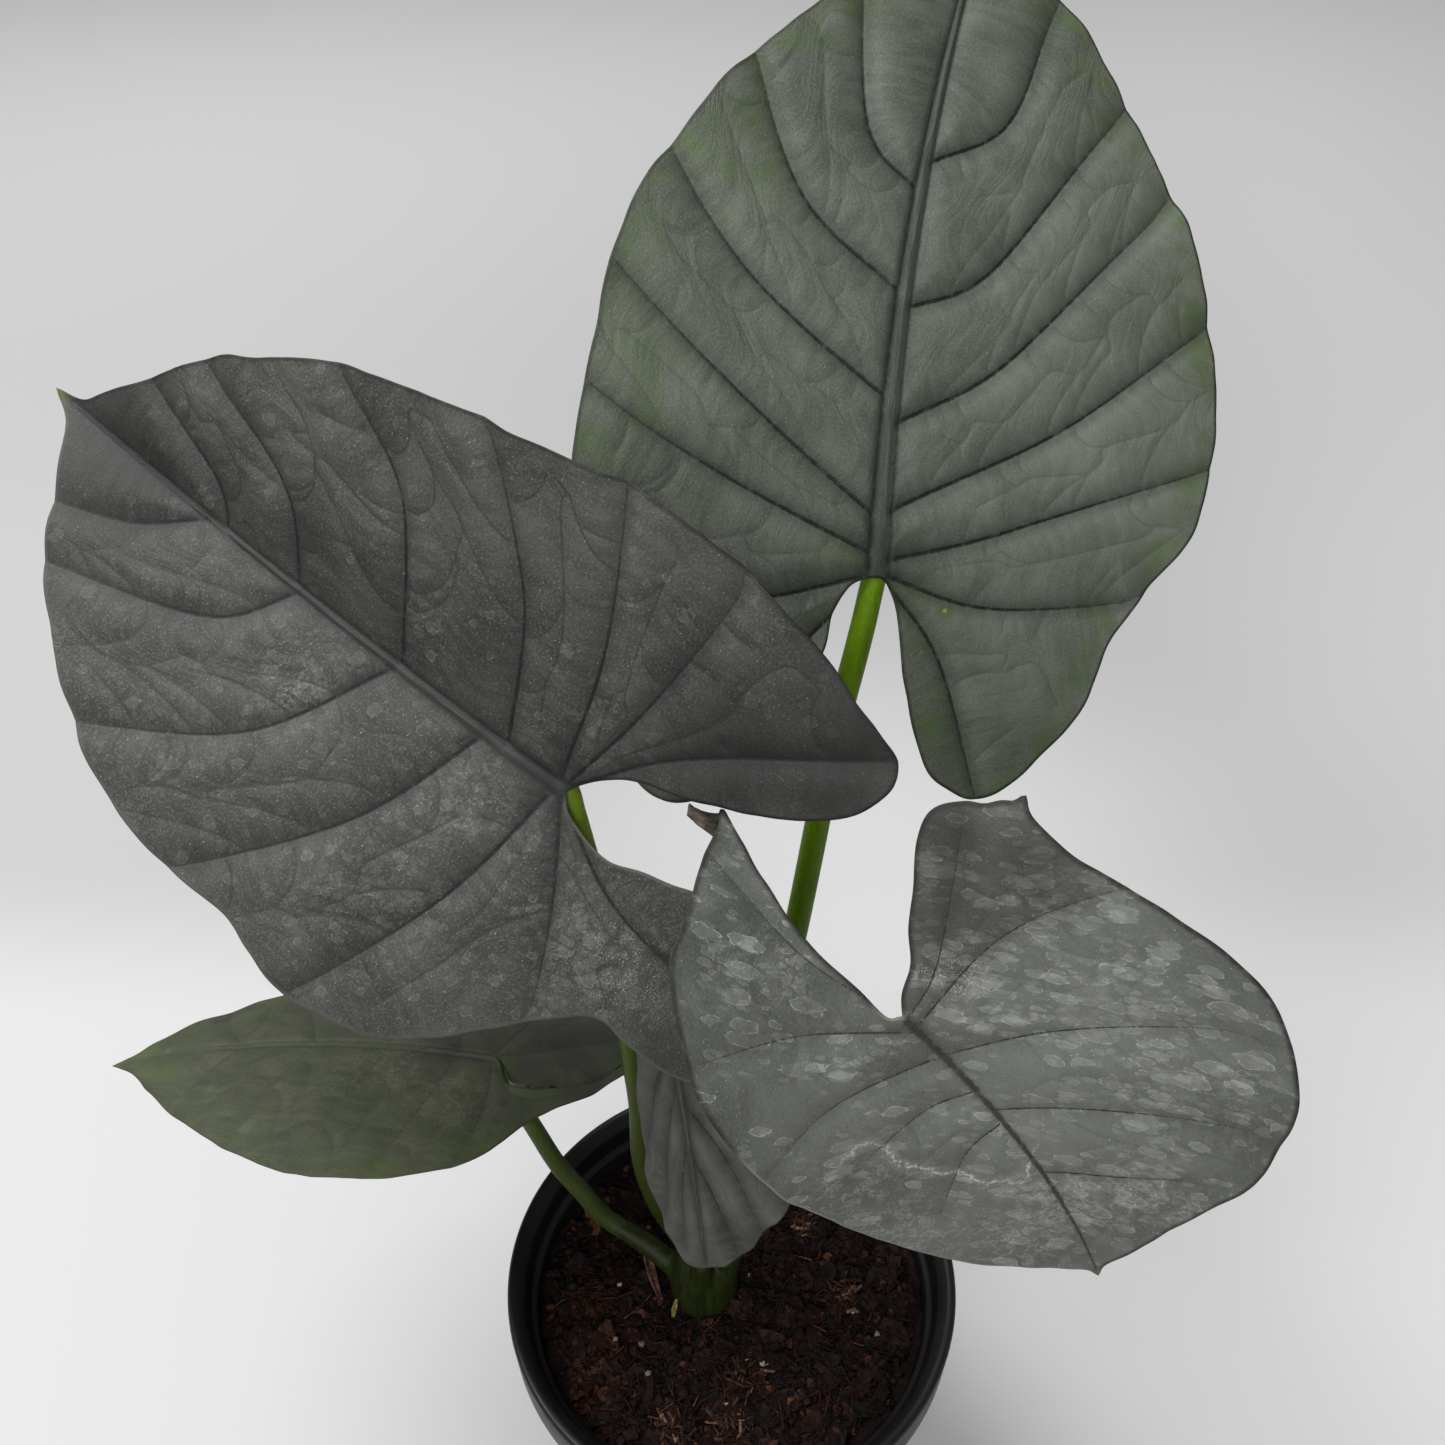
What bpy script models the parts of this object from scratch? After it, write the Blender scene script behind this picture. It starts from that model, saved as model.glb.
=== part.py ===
# A young potted alocasia reginae: five heart-shaped blades on arching petioles, held in a
# sheathed crown that stands in chunky soil in a black nursery pot.
# The origin is the middle of the pot's flat underside, +Z is up and -Y is the front.

import math

import bmesh
import bpy
import numpy as np
from mathutils import Vector, noise
from mathutils.geometry import delaunay_2d_cdt

MM = 0.001
GAP = 0.3                    # clearance between pieces that touch, mm

# Pot, mm
POT_HEIGHT = 92.0
RIM_RADIUS = 54.0
SKIRT_HEIGHT = 12.0          # the turned-down rim
SKIRT_LOW = POT_HEIGHT - SKIRT_HEIGHT
WALL = 1.1
LIP = 1.8                    # the rim's flat top
STEP_RADIUS = RIM_RADIUS - 3.2      # the wall inside the rim
NECK_RADIUS = STEP_RADIUS - 2.4     # the wall below the inner step
STEP_HEIGHT = 4.0            # the inner step, above the skirt's lower edge
TAPER_TOP = SKIRT_LOW - 3.0
TAPER_IN = 0.4               # the wall draws in by this between the step and the taper
BASE_RADIUS = 38.0
BASE_BEVEL = 1.4
FLOOR = 1.6
POT_STEPS = 48
DRAIN_COUNT = 6
DRAIN_RADIUS = 4.0
DRAIN_CIRCLE = 27.0

# Soil, mm
SOIL_LEVEL = 80.0
SOIL_CELLS = 20
SOIL_HALF = 50.0
SOIL_LUMP = 2.2              # height of the raised chunks
SOIL_LUMP_SIZE = 9.0
LUMP_SLOPE = 2.2             # how steeply a chunk rises from the cracks round it
SOIL_SWELL = 1.6             # slow rise and fall of the whole surface
SWELL_SIZE = 22.0

# Crown, mm: the short stem where the petioles sheathe each other
CROWN = (-6.8, 2.8)
CROWN_PROFILE = ((0.0, 98.0), (3.4, 97.4), (6.2, 95.0), (8.0, 91.0), (8.5, 85.0), (8.2, 79.0), (7.0, 71.0),
                 (5.0, 65.0), (0.0, 63.0))
CROWN_STEPS = 20

# Blades, mm
THICKNESS = 0.9
SPACING = 5.3                # edge length of the blade's triangles
QUILT = 1.0                  # how far the blade bulges between its veins
QUILT_REACH = 4.5
FOLD_EASE = 3.0              # a fold eases in over this width, so the midrib is a rounded valley
LOBE, MIDDLE, TIP = -0.35, 0.25, 1.0     # stations along a blade where its folds are given
TUCK_START = -1.0            # a tucked lobe starts to dip here, along the blade
TUCK_LENGTH = 7.0            # and reaches its full depth over this length
TUCK_FADE = 16.0             # the dip fades over this width away from the other lobe

# Each leaf, mm and radians. joint is where the petiole meets the blade; along points from there to
# the tip and face out of the upper side. arch bends the tip away from the upper side, back bends the
# lobes the same way and sway bends the midrib sideways. A fold lifts a half of the blade about the
# midrib, at the lobe, the middle and the tip. An edge lists (width, distance along) from the joint
# round the lobe to the tip. A vein lists (start along the midrib, bend, end). clear sets the petiole
# further below the blade. tuck gives how far the right lobe passes under the left one, and the line
# of (distance along, width) between the two lobes. grain is a finer triangle size for such a blade.
LEAVES = {
    "left": dict(
        joint=(-32, 18, 241), along=(-0.80, 0.52, 0.29), face=(-0.22, -0.715, 0.664), length=138,
        arch=0.10, back=-0.10, sway=0.05, clear=0.2,
        fold_right=(0.30, 0.42, 0.25), fold_left=(-0.25, 0.10, 0.20),
        edge_right=((2, -2), (8, -7), (12, -13), (15, -22), (20, -33), (25, -42), (31, -48), (38, -51),
                    (43, -49), (46, -44), (50, -35), (54, -26), (57, -14), (59, 0), (59, 14), (56, 30),
                    (53, 46), (49, 62), (43, 78), (36, 90), (31, 99), (23, 108), (14, 117), (7, 124),
                    (2, 129)),
        edge_left=((3, -4), (5, -11), (5, -16), (3, -22), (1, -30), (-2, -40), (0, -50), (8, -56),
                   (18, -58), (27, -55), (33, -48), (33, -37), (32, -29), (37, -22), (45, -14), (53, -6),
                   (60, 4), (62, 14), (63, 22), (60, 31), (57, 39), (57, 52), (55, 65), (51, 77),
                   (45, 88), (38, 98), (31, 108), (22, 116), (12, 123), (4, 129)),
        tip=137,
        veins_right=((85, (8, 92), (15, 111)), (66, (16, 75), (25, 97)), (39, (30, 51), (43, 71)),
                     (13, (27, 21), (48, 36)), (1, (29, 4), (57, 13)), (0, (23, -7), (50, -12)),
                     (0, (20, -17), (42, -48))),
        veins_left=((90, (10, 102), (16, 116)), (65, (15, 77), (26, 108)), (40, (27, 56), (44, 80)),
                    (18, (27, 29), (53, 49)), (1, (29, 7), (60, 20)), (0, (18, -10), (36, -17)),
                    (0, (12, -20), (18, -50)))),
    "tall": dict(
        joint=(28, 57, 261), along=(0.04, 0.62, 0.78), face=(0.20, -0.77, 0.60), length=140,
        arch=0.35, back=0.0, sway=0.35,
        fold_right=(-0.05, 0.0, 0.05), fold_left=(0.15, -0.05, 0.05),
        edge_right=((2, -2), (4, -7), (5, -15), (7, -24), (11, -37), (16, -42), (22, -44), (29, -41),
                    (38, -33), (45, -24), (49, -12), (56, -2), (65, 12), (68, 26), (68, 40), (66, 55),
                    (61, 73), (54, 88), (46, 99), (38, 110), (28, 122), (18, 131), (8, 137), (2, 140)),
        edge_left=((2, -1), (6, -3), (9, -9), (11, -16), (16, -28), (24, -39), (32, -45), (40, -48),
                   (45, -45), (50, -38), (55, -26), (58, -12), (60, 4), (60, 20), (58, 36), (57, 50),
                   (53, 65), (48, 74), (42, 86), (34, 97), (26, 108), (16, 121), (7, 133), (2, 140)),
        tip=146,
        veins_right=((81, (15, 95), (19, 122)), (51, (17, 63), (35, 100)), (28, (22, 44), (45, 78)),
                     (11, (35, 32), (61, 59)), (2, (24, 9), (65, 27)), (0, (22, -6), (50, -4)),
                     (0, (13, -16), (22, -42))),
        veins_left=((75, (12, 84), (19, 108)), (54, (22, 68), (36, 90)), (33, (30, 52), (48, 70)),
                    (10, (34, 34), (57, 51)), (3, (36, 18), (58, 29)), (0, (26, -6), (54, -4)),
                    (0, (18, -18), (39, -46)))),
    "right": dict(
        joint=(29, -25, 229), along=(0.72, -0.385, -0.57), face=(-0.10, -0.88, 0.47), length=74,
        arch=0.50, back=1.10, sway=0.50,
        fold_right=(0.75, 0.05, 0.10), fold_left=(0.15, 0.12, 0.10),
        edge_right=((2, -3), (2, -10), (2, -18), (2, -26), (3, -34), (3, -41), (4, -47), (8, -44),
                    (15, -37), (21, -33), (26, -30), (30, -23), (34, -15), (36, -3), (37, 8), (36, 18),
                    (35, 29), (32, 39), (27, 49), (21, 56), (13, 62), (5, 68)),
        edge_left=((3, -4), (8, -7), (13, -12), (18, -16), (23, -20), (28, -22), (33, -22), (37, -20),
                   (41, -16), (42, -9), (43, -1), (46, 9), (49, 19), (50, 28), (48, 36), (44, 45),
                   (36, 53), (27, 58), (16, 62), (7, 67)),
        tip=73,
        veins_right=((26, (9, 28), (18, 37)), (18, (9, 15), (22, 16)), (9, (20, 1), (33, 1)),
                     (3, (14, -11), (29, -18)), (0, (5, -20), (7, -40))),
        veins_left=((40, (10, 46), (22, 52)), (23, (14, 31), (33, 44)), (9, (18, 16), (40, 28)),
                    (2, (22, -1), (43, 4)), (0, (11, -4), (33, -19)))),
    "low": dict(
        joint=(-54, 22, 150), along=(-0.98, 0.157, 0.045), face=(0.07, 0.15, 0.98), length=94,
        arch=0.40, back=0.0, sway=-0.10, clear=0.2,
        fold_right=(-0.30, -0.25, -0.20), fold_left=(0.15, 0.0, 0.10),
        tuck=(2.2, ((-33, 14.7), (-29.4, 6.1), (-26.3, 1.2), (-22.5, -2.2), (-16.6, -5.2), (-10.5, -7.1),
                    (-5.5, -6.5), (-4, -3.6), (-2, -0.6), (-1, 0))), grain=3.2,
        edge_right=((-0.4, -3.0), (-5.6, -5.9), (-6.5, -10.4), (-4.6, -16.4), (-1.7, -22.2),
                    (1.7, -25.9), (6.4, -28.9), (14.5, -32.0), (20, -33.6), (26, -33), (32, -28),
                    (37, -16), (39, 0), (39, 14), (37, 28), (33, 40), (28, 50), (22, 58), (18, 64),
                    (15, 70), (11, 78), (6, 84), (2, 88)),
        edge_left=((1.2, -1.9), (7.2, -4.9), (7.8, -10.5), (5.8, -16.8), (2.8, -22.8), (-0.8, -26.8),
                   (-5.8, -30.0), (-11.5, -33.4), (-10, -35.0), (-3, -31),
                   (2, -27), (7, -23), (12, -18), (17, -13), (24, -9), (30, -4), (34, 4), (37, 12),
                   (38, 20), (38, 30), (35, 42), (31, 52), (26, 61), (19, 71), (12, 79), (5, 86)),
        tip=94,
        veins_right=((60, (9, 67), (17, 70)), (42, (16, 49), (28, 52)), (24, (20, 30), (36, 34)),
                     (8, (20, 12), (38, 15)), (0, (18, -4), (36, -8)), (0, (10, -14), (20, -30))),
        veins_left=((60, (10, 67), (20, 70)), (42, (16, 50), (30, 54)), (24, (20, 31), (36, 36)),
                    (8, (18, 12), (37, 18)), (0, (16, -2), (32, 0)), (0, (10.5, -8), (6.5, -21)))),
    "inner": dict(
        joint=(-12, -3, 193), along=(0.11, -0.30, -0.95), face=(0.15, -0.94, 0.31), length=67,
        arch=0.20, back=-0.60, sway=0.0, clear=0.7,
        fold_right=(-0.90, -1.0, -0.80), fold_left=(-0.10, 0.15, 0.10),
        edge_right=((2, -2), (4, -5), (7, -6), (10, -3), (11, 4), (12, 13), (14, 23), (15, 33),
                    (15, 44), (13, 53), (10, 60), (6, 66)),
        edge_left=((2, -3), (5, -8), (10, -10), (15, -7), (18, 0), (20, 10), (21, 22), (21, 36),
                   (19, 48), (15, 53), (11, 60), (7, 65)),
        tip=68,
        veins_right=((40, (6, 46), (12, 52)), (22, (7, 29), (14, 36)), (6, (7, 11), (14, 16))),
        veins_left=((42, (6, 49), (12, 56)), (28, (8, 36), (18, 45)), (14, (10, 21), (20, 29)),
                    (2, (9, 6), (18, 11)), (0, (6, -4), (12, -9)))),
}

# Each petiole, mm: its route from the crown to the joint, and its radius at the foot and the top.
# The route ends below the blade, so the last point is the joint itself and is moved back in code.
PETIOLES = {
    "left": dict(route=((-8.2, 6.9, 89), (-10.8, 6.8, 95), (-17.4, 9.2, 109.5), (-20.6, 11.1, 127),
                        (-20.6, 11.1, 152), (-24.0, 13.1, 195), (-28.3, 15.8, 226), (-32, 18, 241)),
                 foot=2.3, swell=2.9, top=2.3),
    "tall": dict(route=((-2.8, 6.2, 87), (-1.6, 8.8, 97), (2.0, 16.3, 122), (8.4, 26.8, 152),
                        (14.2, 36.0, 181), (20.4, 45.4, 227), (25.0, 52.6, 249), (28, 57, 261)),
                 foot=2.3, swell=3.0, top=2.4),
    "right": dict(route=((-1.8, 0.6, 87), (-0.6, 0.6, 98), (3.4, -0.6, 122), (9.6, -2.4, 146),
                         (17.5, -6.2, 172), (24.5, -12.8, 196), (28.6, -20.4, 213),
                         (30.4, -25.8, 227.9)),
                  foot=2.2, swell=2.7, top=2.0),
    "low": dict(route=((-12.2, 2.6, 87.4), (-18.8, 6.8, 91.0), (-24.5, 9.7, 93.0), (-31.6, 12.7, 97.0),
                       (-36.6, 14.9, 104.8), (-41.8, 17.0, 113.0), (-47.2, 19.2, 128), (-54, 22, 150)),
                foot=2.3, swell=2.5, top=2.0),
    "inner": dict(route=((-7.0, -2.4, 87), (-7.2, -2.2, 98), (-7.4, -1.0, 118), (-7.6, 1.6, 142),
                         (-7.4, 3.6, 166), (-7.0, 3.8, 182), (-8.8, 1.0, 190.5), (-12, -3, 193)),
                  foot=2.2, swell=2.3, top=1.6),
}
SOCKET_DEPTH = 0.4           # room below and round each petiole's foot, mm
PETIOLE_POINTS = 16

COLOURS = {
    "pot": ((0.010, 0.010, 0.011), 0.42),
    "soil": ((0.020, 0.012, 0.010), 0.95),
    "stem": ((0.035, 0.060, 0.008), 0.45),
    "blade": ((0.085, 0.092, 0.082), 0.55),
    "blade_olive": ((0.085, 0.095, 0.060), 0.55),
}


def unit(v):
    v = np.array(v, float)
    return v / np.linalg.norm(v)


def clear_scene():
    for item in list(bpy.data.objects):
        bpy.data.objects.remove(item, do_unlink=True)


def make_collection(name):
    group = bpy.data.collections.new(name)
    bpy.context.scene.collection.children.link(group)
    return group


def make_material(name):
    colour, roughness = COLOURS[name]
    material = bpy.data.materials.new(name)
    material.use_nodes = True
    shader = material.node_tree.nodes["Principled BSDF"]
    shader.inputs["Base Color"].default_value = (*colour, 1.0)
    shader.inputs["Roughness"].default_value = roughness
    shader.inputs["Metallic"].default_value = 0.0
    return material


def add_object(name, mesh, group, material=None, smooth=True):
    item = bpy.data.objects.new(name, mesh)
    group.objects.link(item)
    if material:
        mesh.materials.clear()
        mesh.materials.append(material)
    if smooth:
        mesh.shade_smooth()
        mesh.set_sharp_from_angle(angle=math.radians(40))
    return item


def mesh_from_bmesh(name, bm):
    mesh = bpy.data.meshes.new(name)
    bm.to_mesh(mesh)
    bm.free()
    return mesh


def bake_modifiers(item):
    """Turn the evaluated object into its own plain mesh."""
    evaluated = item.evaluated_get(bpy.context.evaluated_depsgraph_get())
    mesh = bpy.data.meshes.new_from_object(evaluated)
    item.modifiers.clear()
    item.data = mesh


def boolean(item, cutter, operation="DIFFERENCE"):
    tool = item.modifiers.new("cut", "BOOLEAN")
    tool.operation = operation
    tool.object = cutter
    tool.solver = "EXACT"
    bake_modifiers(item)


def turned(name, profile, steps, group, centre=(0, 0), material=None):
    """A profile of (radius, height) in mm, from the top down its outer side, turned about Z."""
    bm = bmesh.new()
    points = [bm.verts.new((r * MM, 0, z * MM)) for r, z in profile]
    for a, b in zip(points, points[1:]):
        bm.edges.new((a, b))
    item = add_object(name, mesh_from_bmesh(name, bm), group, material, smooth=False)
    item.location = (centre[0] * MM, centre[1] * MM, 0)
    screw = item.modifiers.new("turn", "SCREW")
    screw.steps = steps
    screw.render_steps = steps
    screw.use_merge_vertices = True
    screw.merge_threshold = 0.00001
    bpy.context.view_layer.update()
    bake_modifiers(item)
    return item


def make_pot(group, tools):
    outer = (
        (RIM_RADIUS - LIP - 0.6, POT_HEIGHT - 0.4), (RIM_RADIUS - LIP, POT_HEIGHT),
        (RIM_RADIUS - 0.6, POT_HEIGHT), (RIM_RADIUS, POT_HEIGHT - 0.8),
        (RIM_RADIUS - 0.4, SKIRT_LOW), (RIM_RADIUS - 0.4 - WALL, SKIRT_LOW),
        (RIM_RADIUS - 0.2 - WALL, POT_HEIGHT - 2.2), (STEP_RADIUS, POT_HEIGHT - 2.6),
        (STEP_RADIUS - 0.8, SKIRT_LOW + STEP_HEIGHT), (NECK_RADIUS, SKIRT_LOW + STEP_HEIGHT - 1),
        (NECK_RADIUS - TAPER_IN, TAPER_TOP), (BASE_RADIUS, BASE_BEVEL),
        (BASE_RADIUS - BASE_BEVEL, 0), (0, 0))
    inner = (
        (0, FLOOR), (BASE_RADIUS - WALL - BASE_BEVEL, FLOOR), (BASE_RADIUS - WALL, FLOOR + BASE_BEVEL),
        (NECK_RADIUS - TAPER_IN - WALL, TAPER_TOP), (NECK_RADIUS - WALL, SKIRT_LOW + STEP_HEIGHT - 0.2),
        (STEP_RADIUS - 0.8 - WALL, SKIRT_LOW + STEP_HEIGHT + 0.9), (STEP_RADIUS - WALL, POT_HEIGHT - 2.4),
        (RIM_RADIUS - LIP - 0.6, POT_HEIGHT - 0.4))
    pot = turned("pot", outer + inner, POT_STEPS, group, material=make_material("pot"))
    bm = bmesh.new()
    for k in range(DRAIN_COUNT):
        turn = math.tau * k / DRAIN_COUNT
        ring = bmesh.ops.create_cone(bm, cap_ends=True, segments=16, radius1=DRAIN_RADIUS * MM,
                                     radius2=DRAIN_RADIUS * MM, depth=8 * MM)
        place = Vector((math.cos(turn), math.sin(turn), 0)) * DRAIN_CIRCLE * MM
        bmesh.ops.translate(bm, verts=ring["verts"], vec=place)
    drains = add_object("drain_cutter", mesh_from_bmesh("drain_cutter", bm), tools, smooth=False)
    boolean(pot, drains)
    pot.data.shade_smooth()
    pot.data.set_sharp_from_angle(angle=math.radians(35))
    return pot


def soil_height(x, y):
    """Height of the soil in mm: chunks stand out of a gently uneven surface."""
    place = Vector((x, y, 0)) / SOIL_LUMP_SIZE
    cells = noise.voronoi(place)[0]
    chunk = min(1.0, (cells[1] - cells[0]) * LUMP_SLOPE)
    swell = noise.noise(Vector((x, y, 0)) / SWELL_SIZE)
    return SOIL_LEVEL + SOIL_LUMP * (chunk - 0.5) + SOIL_SWELL * swell


def make_soil(group, tools):
    """A block with an uneven top, cut to the pot's inside and to the crown."""
    bm = bmesh.new()
    bmesh.ops.create_grid(bm, x_segments=SOIL_CELLS, y_segments=SOIL_CELLS, size=SOIL_HALF * MM)
    for v in bm.verts:
        v.co.z = soil_height(v.co.x / MM, v.co.y / MM) * MM
    bmesh.ops.triangulate(bm, faces=bm.faces[:])
    edge = [e for e in bm.edges if e.is_boundary]
    wall = bmesh.ops.extrude_edge_only(bm, edges=edge)
    for v in wall["geom"]:
        if isinstance(v, bmesh.types.BMVert):
            v.co.z = -FLOOR * MM
    bmesh.ops.contextual_create(bm, geom=[e for e in bm.edges if e.is_boundary])
    bmesh.ops.recalc_face_normals(bm, faces=bm.faces[:])
    soil = add_object("soil", mesh_from_bmesh("soil", bm), group, make_material("soil"), smooth=False)

    neck = NECK_RADIUS - WALL - GAP
    base = BASE_RADIUS - WALL - 1.5 * GAP
    room = turned("soil_room", ((0, POT_HEIGHT), (neck, POT_HEIGHT), (neck, SKIRT_LOW + STEP_HEIGHT - 0.2),
                                (neck - TAPER_IN, TAPER_TOP), (base, FLOOR + BASE_BEVEL + GAP / 2),
                                (base - BASE_BEVEL, FLOOR + GAP), (0, FLOOR + GAP)),
                  POT_STEPS, tools)
    boolean(soil, room, "INTERSECT")
    # The crown stands in a plain hole.
    hole = turned("crown_hole", [(r + GAP if r else 0, z + (GAP if z > SOIL_LEVEL else -GAP))
                                 for r, z in CROWN_PROFILE], CROWN_STEPS, tools, CROWN)
    boolean(soil, hole)
    return soil


def smooth_route(points, count):
    """Points on one smooth curve through the route's own points."""
    points = [np.array(p, float) for p in points]
    ends = [2 * points[0] - points[1]] + points + [2 * points[-1] - points[-2]]
    out = []
    for k in range(count + 1):
        place = k / count * (len(points) - 1)
        i = min(int(place), len(points) - 2)
        t = place - i
        a, b, c, d = ends[i:i + 4]
        out.append(0.5 * (2 * b + (c - a) * t + (2 * a - 5 * b + 4 * c - d) * t * t
                          + (3 * b - a - 3 * c + d) * t ** 3))
    return out


def tube(name, points, radii, group, material=None):
    curve = bpy.data.curves.new(name, "CURVE")
    curve.dimensions = "3D"
    curve.bevel_depth = MM
    curve.bevel_resolution = 2
    curve.use_fill_caps = True
    spline = curve.splines.new("POLY")
    spline.points.add(len(points) - 1)
    for place, point, radius in zip(spline.points, points, radii):
        place.co = (*(np.array(point) * MM), 1)
        place.radius = radius
    item = bpy.data.objects.new(name, curve)
    group.objects.link(item)
    bpy.context.view_layer.update()
    evaluated = item.evaluated_get(bpy.context.evaluated_depsgraph_get())
    mesh = bpy.data.meshes.new_from_object(evaluated)
    bpy.data.objects.remove(item, do_unlink=True)
    bpy.data.curves.remove(curve)
    bm = bmesh.new()
    bm.from_mesh(mesh)
    bmesh.ops.remove_doubles(bm, verts=bm.verts[:], dist=0.00001)
    bmesh.ops.recalc_face_normals(bm, faces=bm.faces[:])
    bm.to_mesh(mesh)
    bm.free()
    return add_object(name, mesh, group, material)


def petiole_points(key):
    """The petiole's centre line, ending just under the blade, and its radii."""
    spec = PETIOLES[key]
    leaf = LEAVES[key]
    route = [np.array(p, float) for p in spec["route"]]
    face = unit(leaf["face"])
    lean = unit(route[-1] - route[-2])
    slant = math.sqrt(max(0.0, 1 - float(lean @ face) ** 2))
    drop = THICKNESS + GAP + spec["top"] * slant + leaf.get("clear", 0.0)
    route[-1] = route[-1] - face * drop
    points = smooth_route(route, PETIOLE_POINTS)
    radii = []
    for k in range(len(points)):
        t = k / PETIOLE_POINTS
        if t < 0.15:
            radii.append(spec["foot"] + (spec["swell"] - spec["foot"]) * t / 0.15)
        else:
            radii.append(spec["swell"] + (spec["top"] - spec["swell"]) * (t - 0.15) / 0.85)
    return points, radii


def make_crown_and_petioles(group, tools):
    material = make_material("stem")
    crown = turned("crown", CROWN_PROFILE, CROWN_STEPS, group, CROWN, material)
    for key in PETIOLES:
        points, radii = petiole_points(key)
        tube("petiole_" + key, points, radii, group, material)
        # A socket in the crown, with room all round the foot.
        lean = unit(points[0] - points[1])
        foot = [points[0] + lean * SOCKET_DEPTH] + points[1:5]
        socket = tube("socket_" + key, foot, [r + SOCKET_DEPTH for r in radii[:5]], tools)
        boolean(crown, socket)
    crown.data.shade_smooth()
    crown.data.set_sharp_from_angle(angle=math.radians(40))


def station_value(s, lobe, middle, tip):
    """A smooth value through the three stations along a blade."""
    s = np.clip(s, -0.45, 1.05)
    return (lobe * (s - MIDDLE) * (s - TIP) / ((LOBE - MIDDLE) * (LOBE - TIP))
            + middle * (s - LOBE) * (s - TIP) / ((MIDDLE - LOBE) * (MIDDLE - TIP))
            + tip * (s - LOBE) * (s - MIDDLE) / ((TIP - LOBE) * (TIP - MIDDLE)))


def tuck_drop(leaf, u, v):
    """How far each point of the right lobe dips, most beside the left lobe."""
    drop, line = leaf["tuck"]
    beside = u - np.interp(v, [p[0] for p in line], [p[1] for p in line])
    ease = np.clip((TUCK_START - v) / TUCK_LENGTH, 0, 1)
    ease = ease * ease * (3 - 2 * ease)
    fade = np.exp(-np.maximum(beside, 0) / TUCK_FADE)
    return np.where((beside > 0) & (v < TUCK_START), drop * ease * fade, 0.0)


def spread(leaf, u, v, lift):
    """Places in mm of flat blade points: u across, v along the midrib, lift out of the upper side."""
    along = unit(leaf["along"])
    face = np.array(leaf["face"], float)
    face = unit(face - along * (face @ along))
    side = np.cross(along, face)
    s = np.linspace(-0.8, 1.2, 401)
    bend = np.where(s > 0, leaf["arch"], leaf["back"]) * s
    sway = np.where(s > 0, leaf["sway"], 0.0) * s
    heading = ((np.cos(bend) * np.cos(sway))[:, None] * along - np.sin(bend)[:, None] * face
               + (np.cos(bend) * np.sin(sway))[:, None] * side)
    step = (heading[1:] + heading[:-1]) / 2 * (s[1] - s[0]) * leaf["length"]
    line = np.vstack([np.zeros(3), np.cumsum(step, axis=0)])
    line -= line[np.argmin(np.abs(s))]
    at = v / leaf["length"]
    place = np.stack([np.interp(at, s, line[:, k]) for k in range(3)], axis=1)
    ahead = np.stack([np.interp(at, s, heading[:, k]) for k in range(3)], axis=1)
    ahead /= np.linalg.norm(ahead, axis=1)[:, None]
    across = np.cross(ahead, face)
    across /= np.linalg.norm(across, axis=1)[:, None]
    up = np.cross(across, ahead)
    fold = np.where(u >= 0, station_value(at, *leaf["fold_right"]), station_value(at, *leaf["fold_left"]))
    turn = np.sign(u) * fold * (1 - np.exp(-np.abs(u) / FOLD_EASE))
    out = across * np.cos(turn)[:, None] + up * np.sin(turn)[:, None]
    rise = up * np.cos(turn)[:, None] - across * np.sin(turn)[:, None]
    if "tuck" in leaf:
        lift = lift - tuck_drop(leaf, u, v)
    return np.array(leaf["joint"], float) + place + out * u[:, None] + rise * lift[:, None]


def resample(points, spacing):
    """Points evenly spaced along a smooth curve through the given ones."""
    fine = np.array(smooth_route([(*p, 0) for p in points], 12 * (len(points) - 1)))[:, :2]
    length = np.concatenate([[0], np.cumsum(np.linalg.norm(np.diff(fine, axis=0), axis=1))])
    count = max(2, int(round(length[-1] / spacing)))
    at = np.linspace(0, length[-1], count + 1)
    return np.stack([np.interp(at, length, fine[:, k]) for k in range(2)], axis=1)


def away_from(points, lines):
    """Distance of each point from the nearest of the polylines."""
    best = np.full(len(points), 1e9)
    for line in lines:
        a, b = line[:-1], line[1:]
        ab = b - a
        t = np.clip(((points[:, None] - a) * ab).sum(-1) / (ab ** 2).sum(-1), 0, 1)
        near = a + t[..., None] * ab
        best = np.minimum(best, np.linalg.norm(points[:, None] - near, axis=2).min(axis=1))
    return best


def inside(points, outline):
    """Which points lie within the closed outline, by crossings."""
    found = np.zeros(len(points), bool)
    for a, b in zip(outline, np.roll(outline, -1, axis=0)):
        spans = (a[1] > points[:, 1]) != (b[1] > points[:, 1])
        rise = b[1] - a[1] if b[1] != a[1] else 1.0
        cross = a[0] + (points[:, 1] - a[1]) * (b[0] - a[0]) / rise
        found ^= spans & (points[:, 0] < cross)
    return found


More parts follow.
